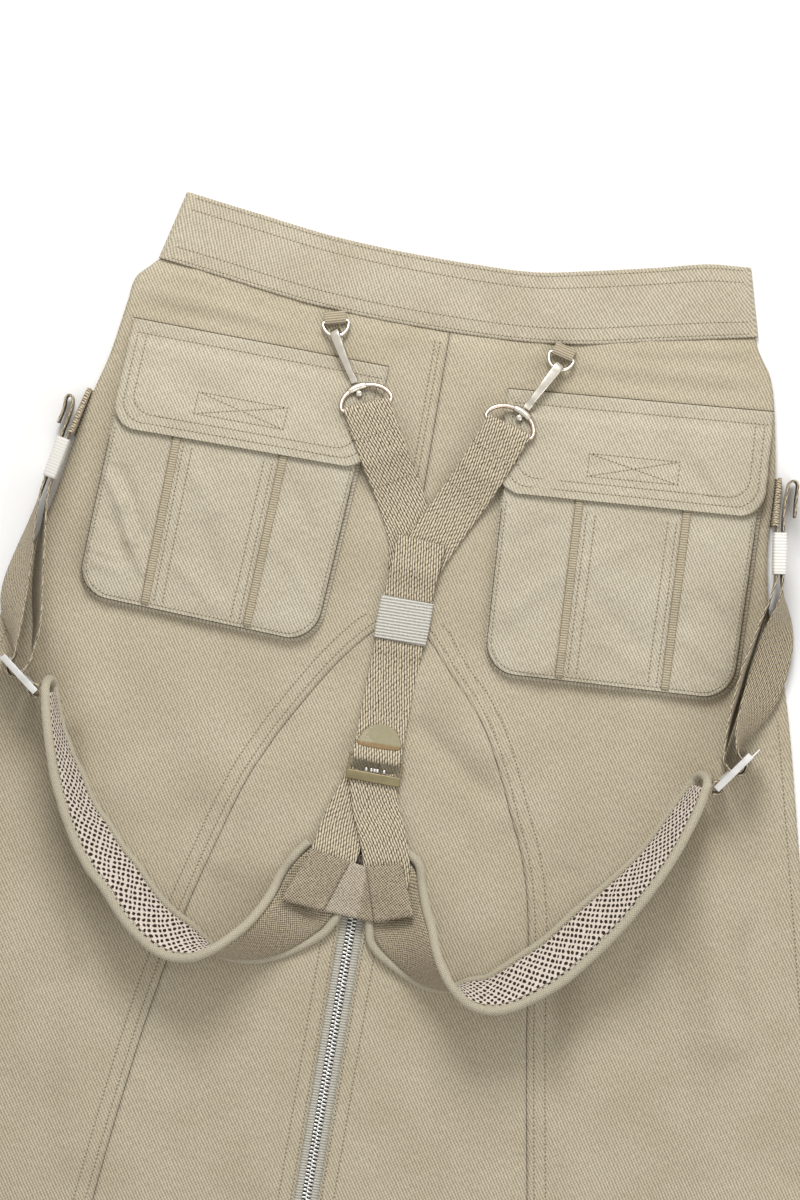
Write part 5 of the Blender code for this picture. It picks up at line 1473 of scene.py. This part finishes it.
# %% Seams of the waistband
lines = []
for across in (0.05, 0.22, 0.78, 0.95):
    x, y = band_places(np.linspace(0.01, 0.99, 400), across)
    z = BAND_BACK + band_height(across + 0 * x, x) + BAND_WALL / 2 + 0.1
    lines.append(together(x, y, z))
sew("stitches_band", lines)


# %% Seams of the pockets
def inner_line(top, side, corners, inset, top_t, corner):
    """Down, round and up again, at an inset from the edge of a pocket piece."""
    width, depth = piece_size(corners)
    s, t = round_trip(pocket_rows(corners, corner, top_t, 60, 14), np.linspace(0.2, 0.8, 40))
    s = inset / width + (1 - 2 * inset / width) * s
    t = top_t + (t - top_t) * (1 - inset / depth / (1 - top_t))
    return on_pocket(top, side, corners, s, t, LIFT)


def straight_line(top, side, corners, start, end):
    (s0, t0), (s1, t1) = start, end
    share = np.linspace(0, 1, 80)
    return on_pocket(top, side, corners, s0 + (s1 - s0) * share, t0 + (t1 - t0) * share, LIFT)


BOX_SIZE, BOX_MIDDLE = (56, 14), {"left": (0.48, 0.66), "right": (0.5, 0.66)}
FLAP_ROW = 8.0
lines = []
for side in SIDES:
    bag, flap = (bag_top, side, BAGS[side]), (flap_top, side, FLAPS[side])
    lines.append(inner_line(*bag, 2.3, 0.38, BAG_CORNER))
    for (upper, lower), sign in zip(RIBBONS[side], (1, -1)):
        for reach in (3.0, 8.5):
            shift = sign * (RIBBON_HALF + reach) / piece_size(BAGS[side])[0]
            lines.append(straight_line(*bag, (upper + shift, 0.40), (lower + shift, 0.97)))
    lines += [inner_line(*flap, inset, 0.12, FLAP_CORNER) for inset in (4.9, 10.5)]
    width, depth = piece_size(FLAPS[side])
    lines.append(straight_line(*flap, (0.02, FLAP_ROW / depth), (0.98, FLAP_ROW / depth)))
    (s, t), s_half, t_half = BOX_MIDDLE[side], BOX_SIZE[0] / width / 2, BOX_SIZE[1] / depth / 2
    box = [(s + a * s_half, t + b * t_half) for a, b in ((-1, -1), (1, -1), (1, 1), (-1, 1))]
    lines += [straight_line(*flap, box[a], box[b])
              for a, b in ((0, 1), (1, 2), (2, 3), (3, 0), (0, 2), (1, 3))]
sew("stitches_pockets", lines)

# %% Painted shadow lines at the edges of the pockets
EDGE_SHADE = 0.28


def edge_shade_cord(name, plan, z):
    """A thin dark cord along the edge of a pocket piece: painted shade for the shadow line where
    the cloth turns under.
    """
    line, length, first, second = tube_along(raised(plan, z), 1.5, [0.0, 0, 1])
    x, y = circle(6)
    rings = carried(line, first, np.array([0, 0, 1.0]), EDGE_SHADE * x, EDGE_SHADE * y)
    band(name, rings, [painted_crevice_shade])


share = np.linspace(0, 1, 120)
for side in SIDES:
    plan = bag_outline(BAGS[side], pocket_rows(BAGS[side], BAG_CORNER, 0.42, 60, 14), 0.2)
    edge_shade_cord("shade_line_bag_" + side, plan, bag_top(side, *plan.T) - 0.9)
    plan = corner_place(FLAPS[side], share, 0 * share - 0.3 / 65)
    edge_shade_cord("shade_line_flap_" + side, plan, skirt_top(*plan.T) + 0.9)
print("pocket edges done")

# %% Seams of the harness
ACROSS_HALF, OVER_WEBBING = 0.92, 0.78      # a share of the half width, and millimetres
PAD_ROW, OVER_PAD = 0.93, 0.75
lines = []
for side in SIDES:
    centre, half, normals, length = stations["upper_webbing_" + side]
    face = 1.0 if normals[10, 2] > 0 else -1.0
    for at in (57.0, 88.0):
        k = int(np.argmin(np.abs(length - at)))
        up = normals[k] * face
        reach = np.linspace(-ACROSS_HALF, ACROSS_HALF, 20)[:, None]
        lines.append((centre[k] + half[k] * reach + up * OVER_WEBBING,
                      np.tile(up, (20, 1))))
for centre, half, normals, length in pads:
    for share in (-PAD_ROW, PAD_ROW):
        line = centre + half * share + normals * (PAD_EDGE / 2 + OVER_PAD)
        lines.append((line[3:-3], normals[3:-3]))
sew("stitches_harness", lines)

# %% [markdown]
# ## The cloth's cuts
# Each sheet prints how large it was cut.

# %% Cloth sheets
declare(*panels["front"])
for name in ("back_left", "back_right"):
    declare(*panels[name], rests_on=["cloth_front"])
for side, tape in zip(SIDES, tapes):
    declare(*panels["insert_" + side], rests_on=["cloth_front"], with_pieces=[tape])

# %% [markdown]
# ## The table and the light
# A pale matte table, a bright even sky and one large soft light from the top: plain
# studio light that still shows the folds.

# %% Table and light
TABLE_SIZE = 3.0
bm = bmesh.new()
bmesh.ops.create_grid(bm, x_segments=1, y_segments=1, size=TABLE_SIZE)
table_mesh = bpy.data.meshes.new("table")
bm.to_mesh(table_mesh)
bm.free()
table_finish, yarn, shader = start_finish("table_white", "khaki_twill", 0.8)
close_finish(shader, body_noise(yarn, 6.0, 2.0).tint((0.93, 0.93, 0.93), (0.96, 0.96, 0.96)))
table_mesh.materials.append(table_finish)
add_object("table", table_mesh)

sky = bpy.data.worlds.new("sky")
sky.use_nodes = True
air = Yarn(sky.node_tree)
height = air.node("SeparateXYZ", {}, {0: air.node("TexCoord")}, out=2)
glow = height.step(-0.1, 1.0).tint((0.45, 0.41, 0.365), (0.66, 0.66, 0.655))
sky.node_tree.links.new(glow.socket, sky.node_tree.nodes["Background"].inputs["Color"])
bpy.context.scene.world = sky

AIM = Vector((0, 0.1, 0))
for name, place, size, power in (("key_light", (-0.25, 1.5, 1.35), 0.85, 25),
                                 ("fill_light", (1.4, -0.8, 1.6), 1.4, 8)):
    light = bpy.data.lights.new(name, "AREA")
    light.shape, light.size, light.energy = "DISK", size, power
    add_object(name, light, place, (AIM - Vector(place)).to_track_quat("-Z", "Y").to_euler())
bpy.context.scene.view_settings.view_transform = "Standard"
print("light is set")
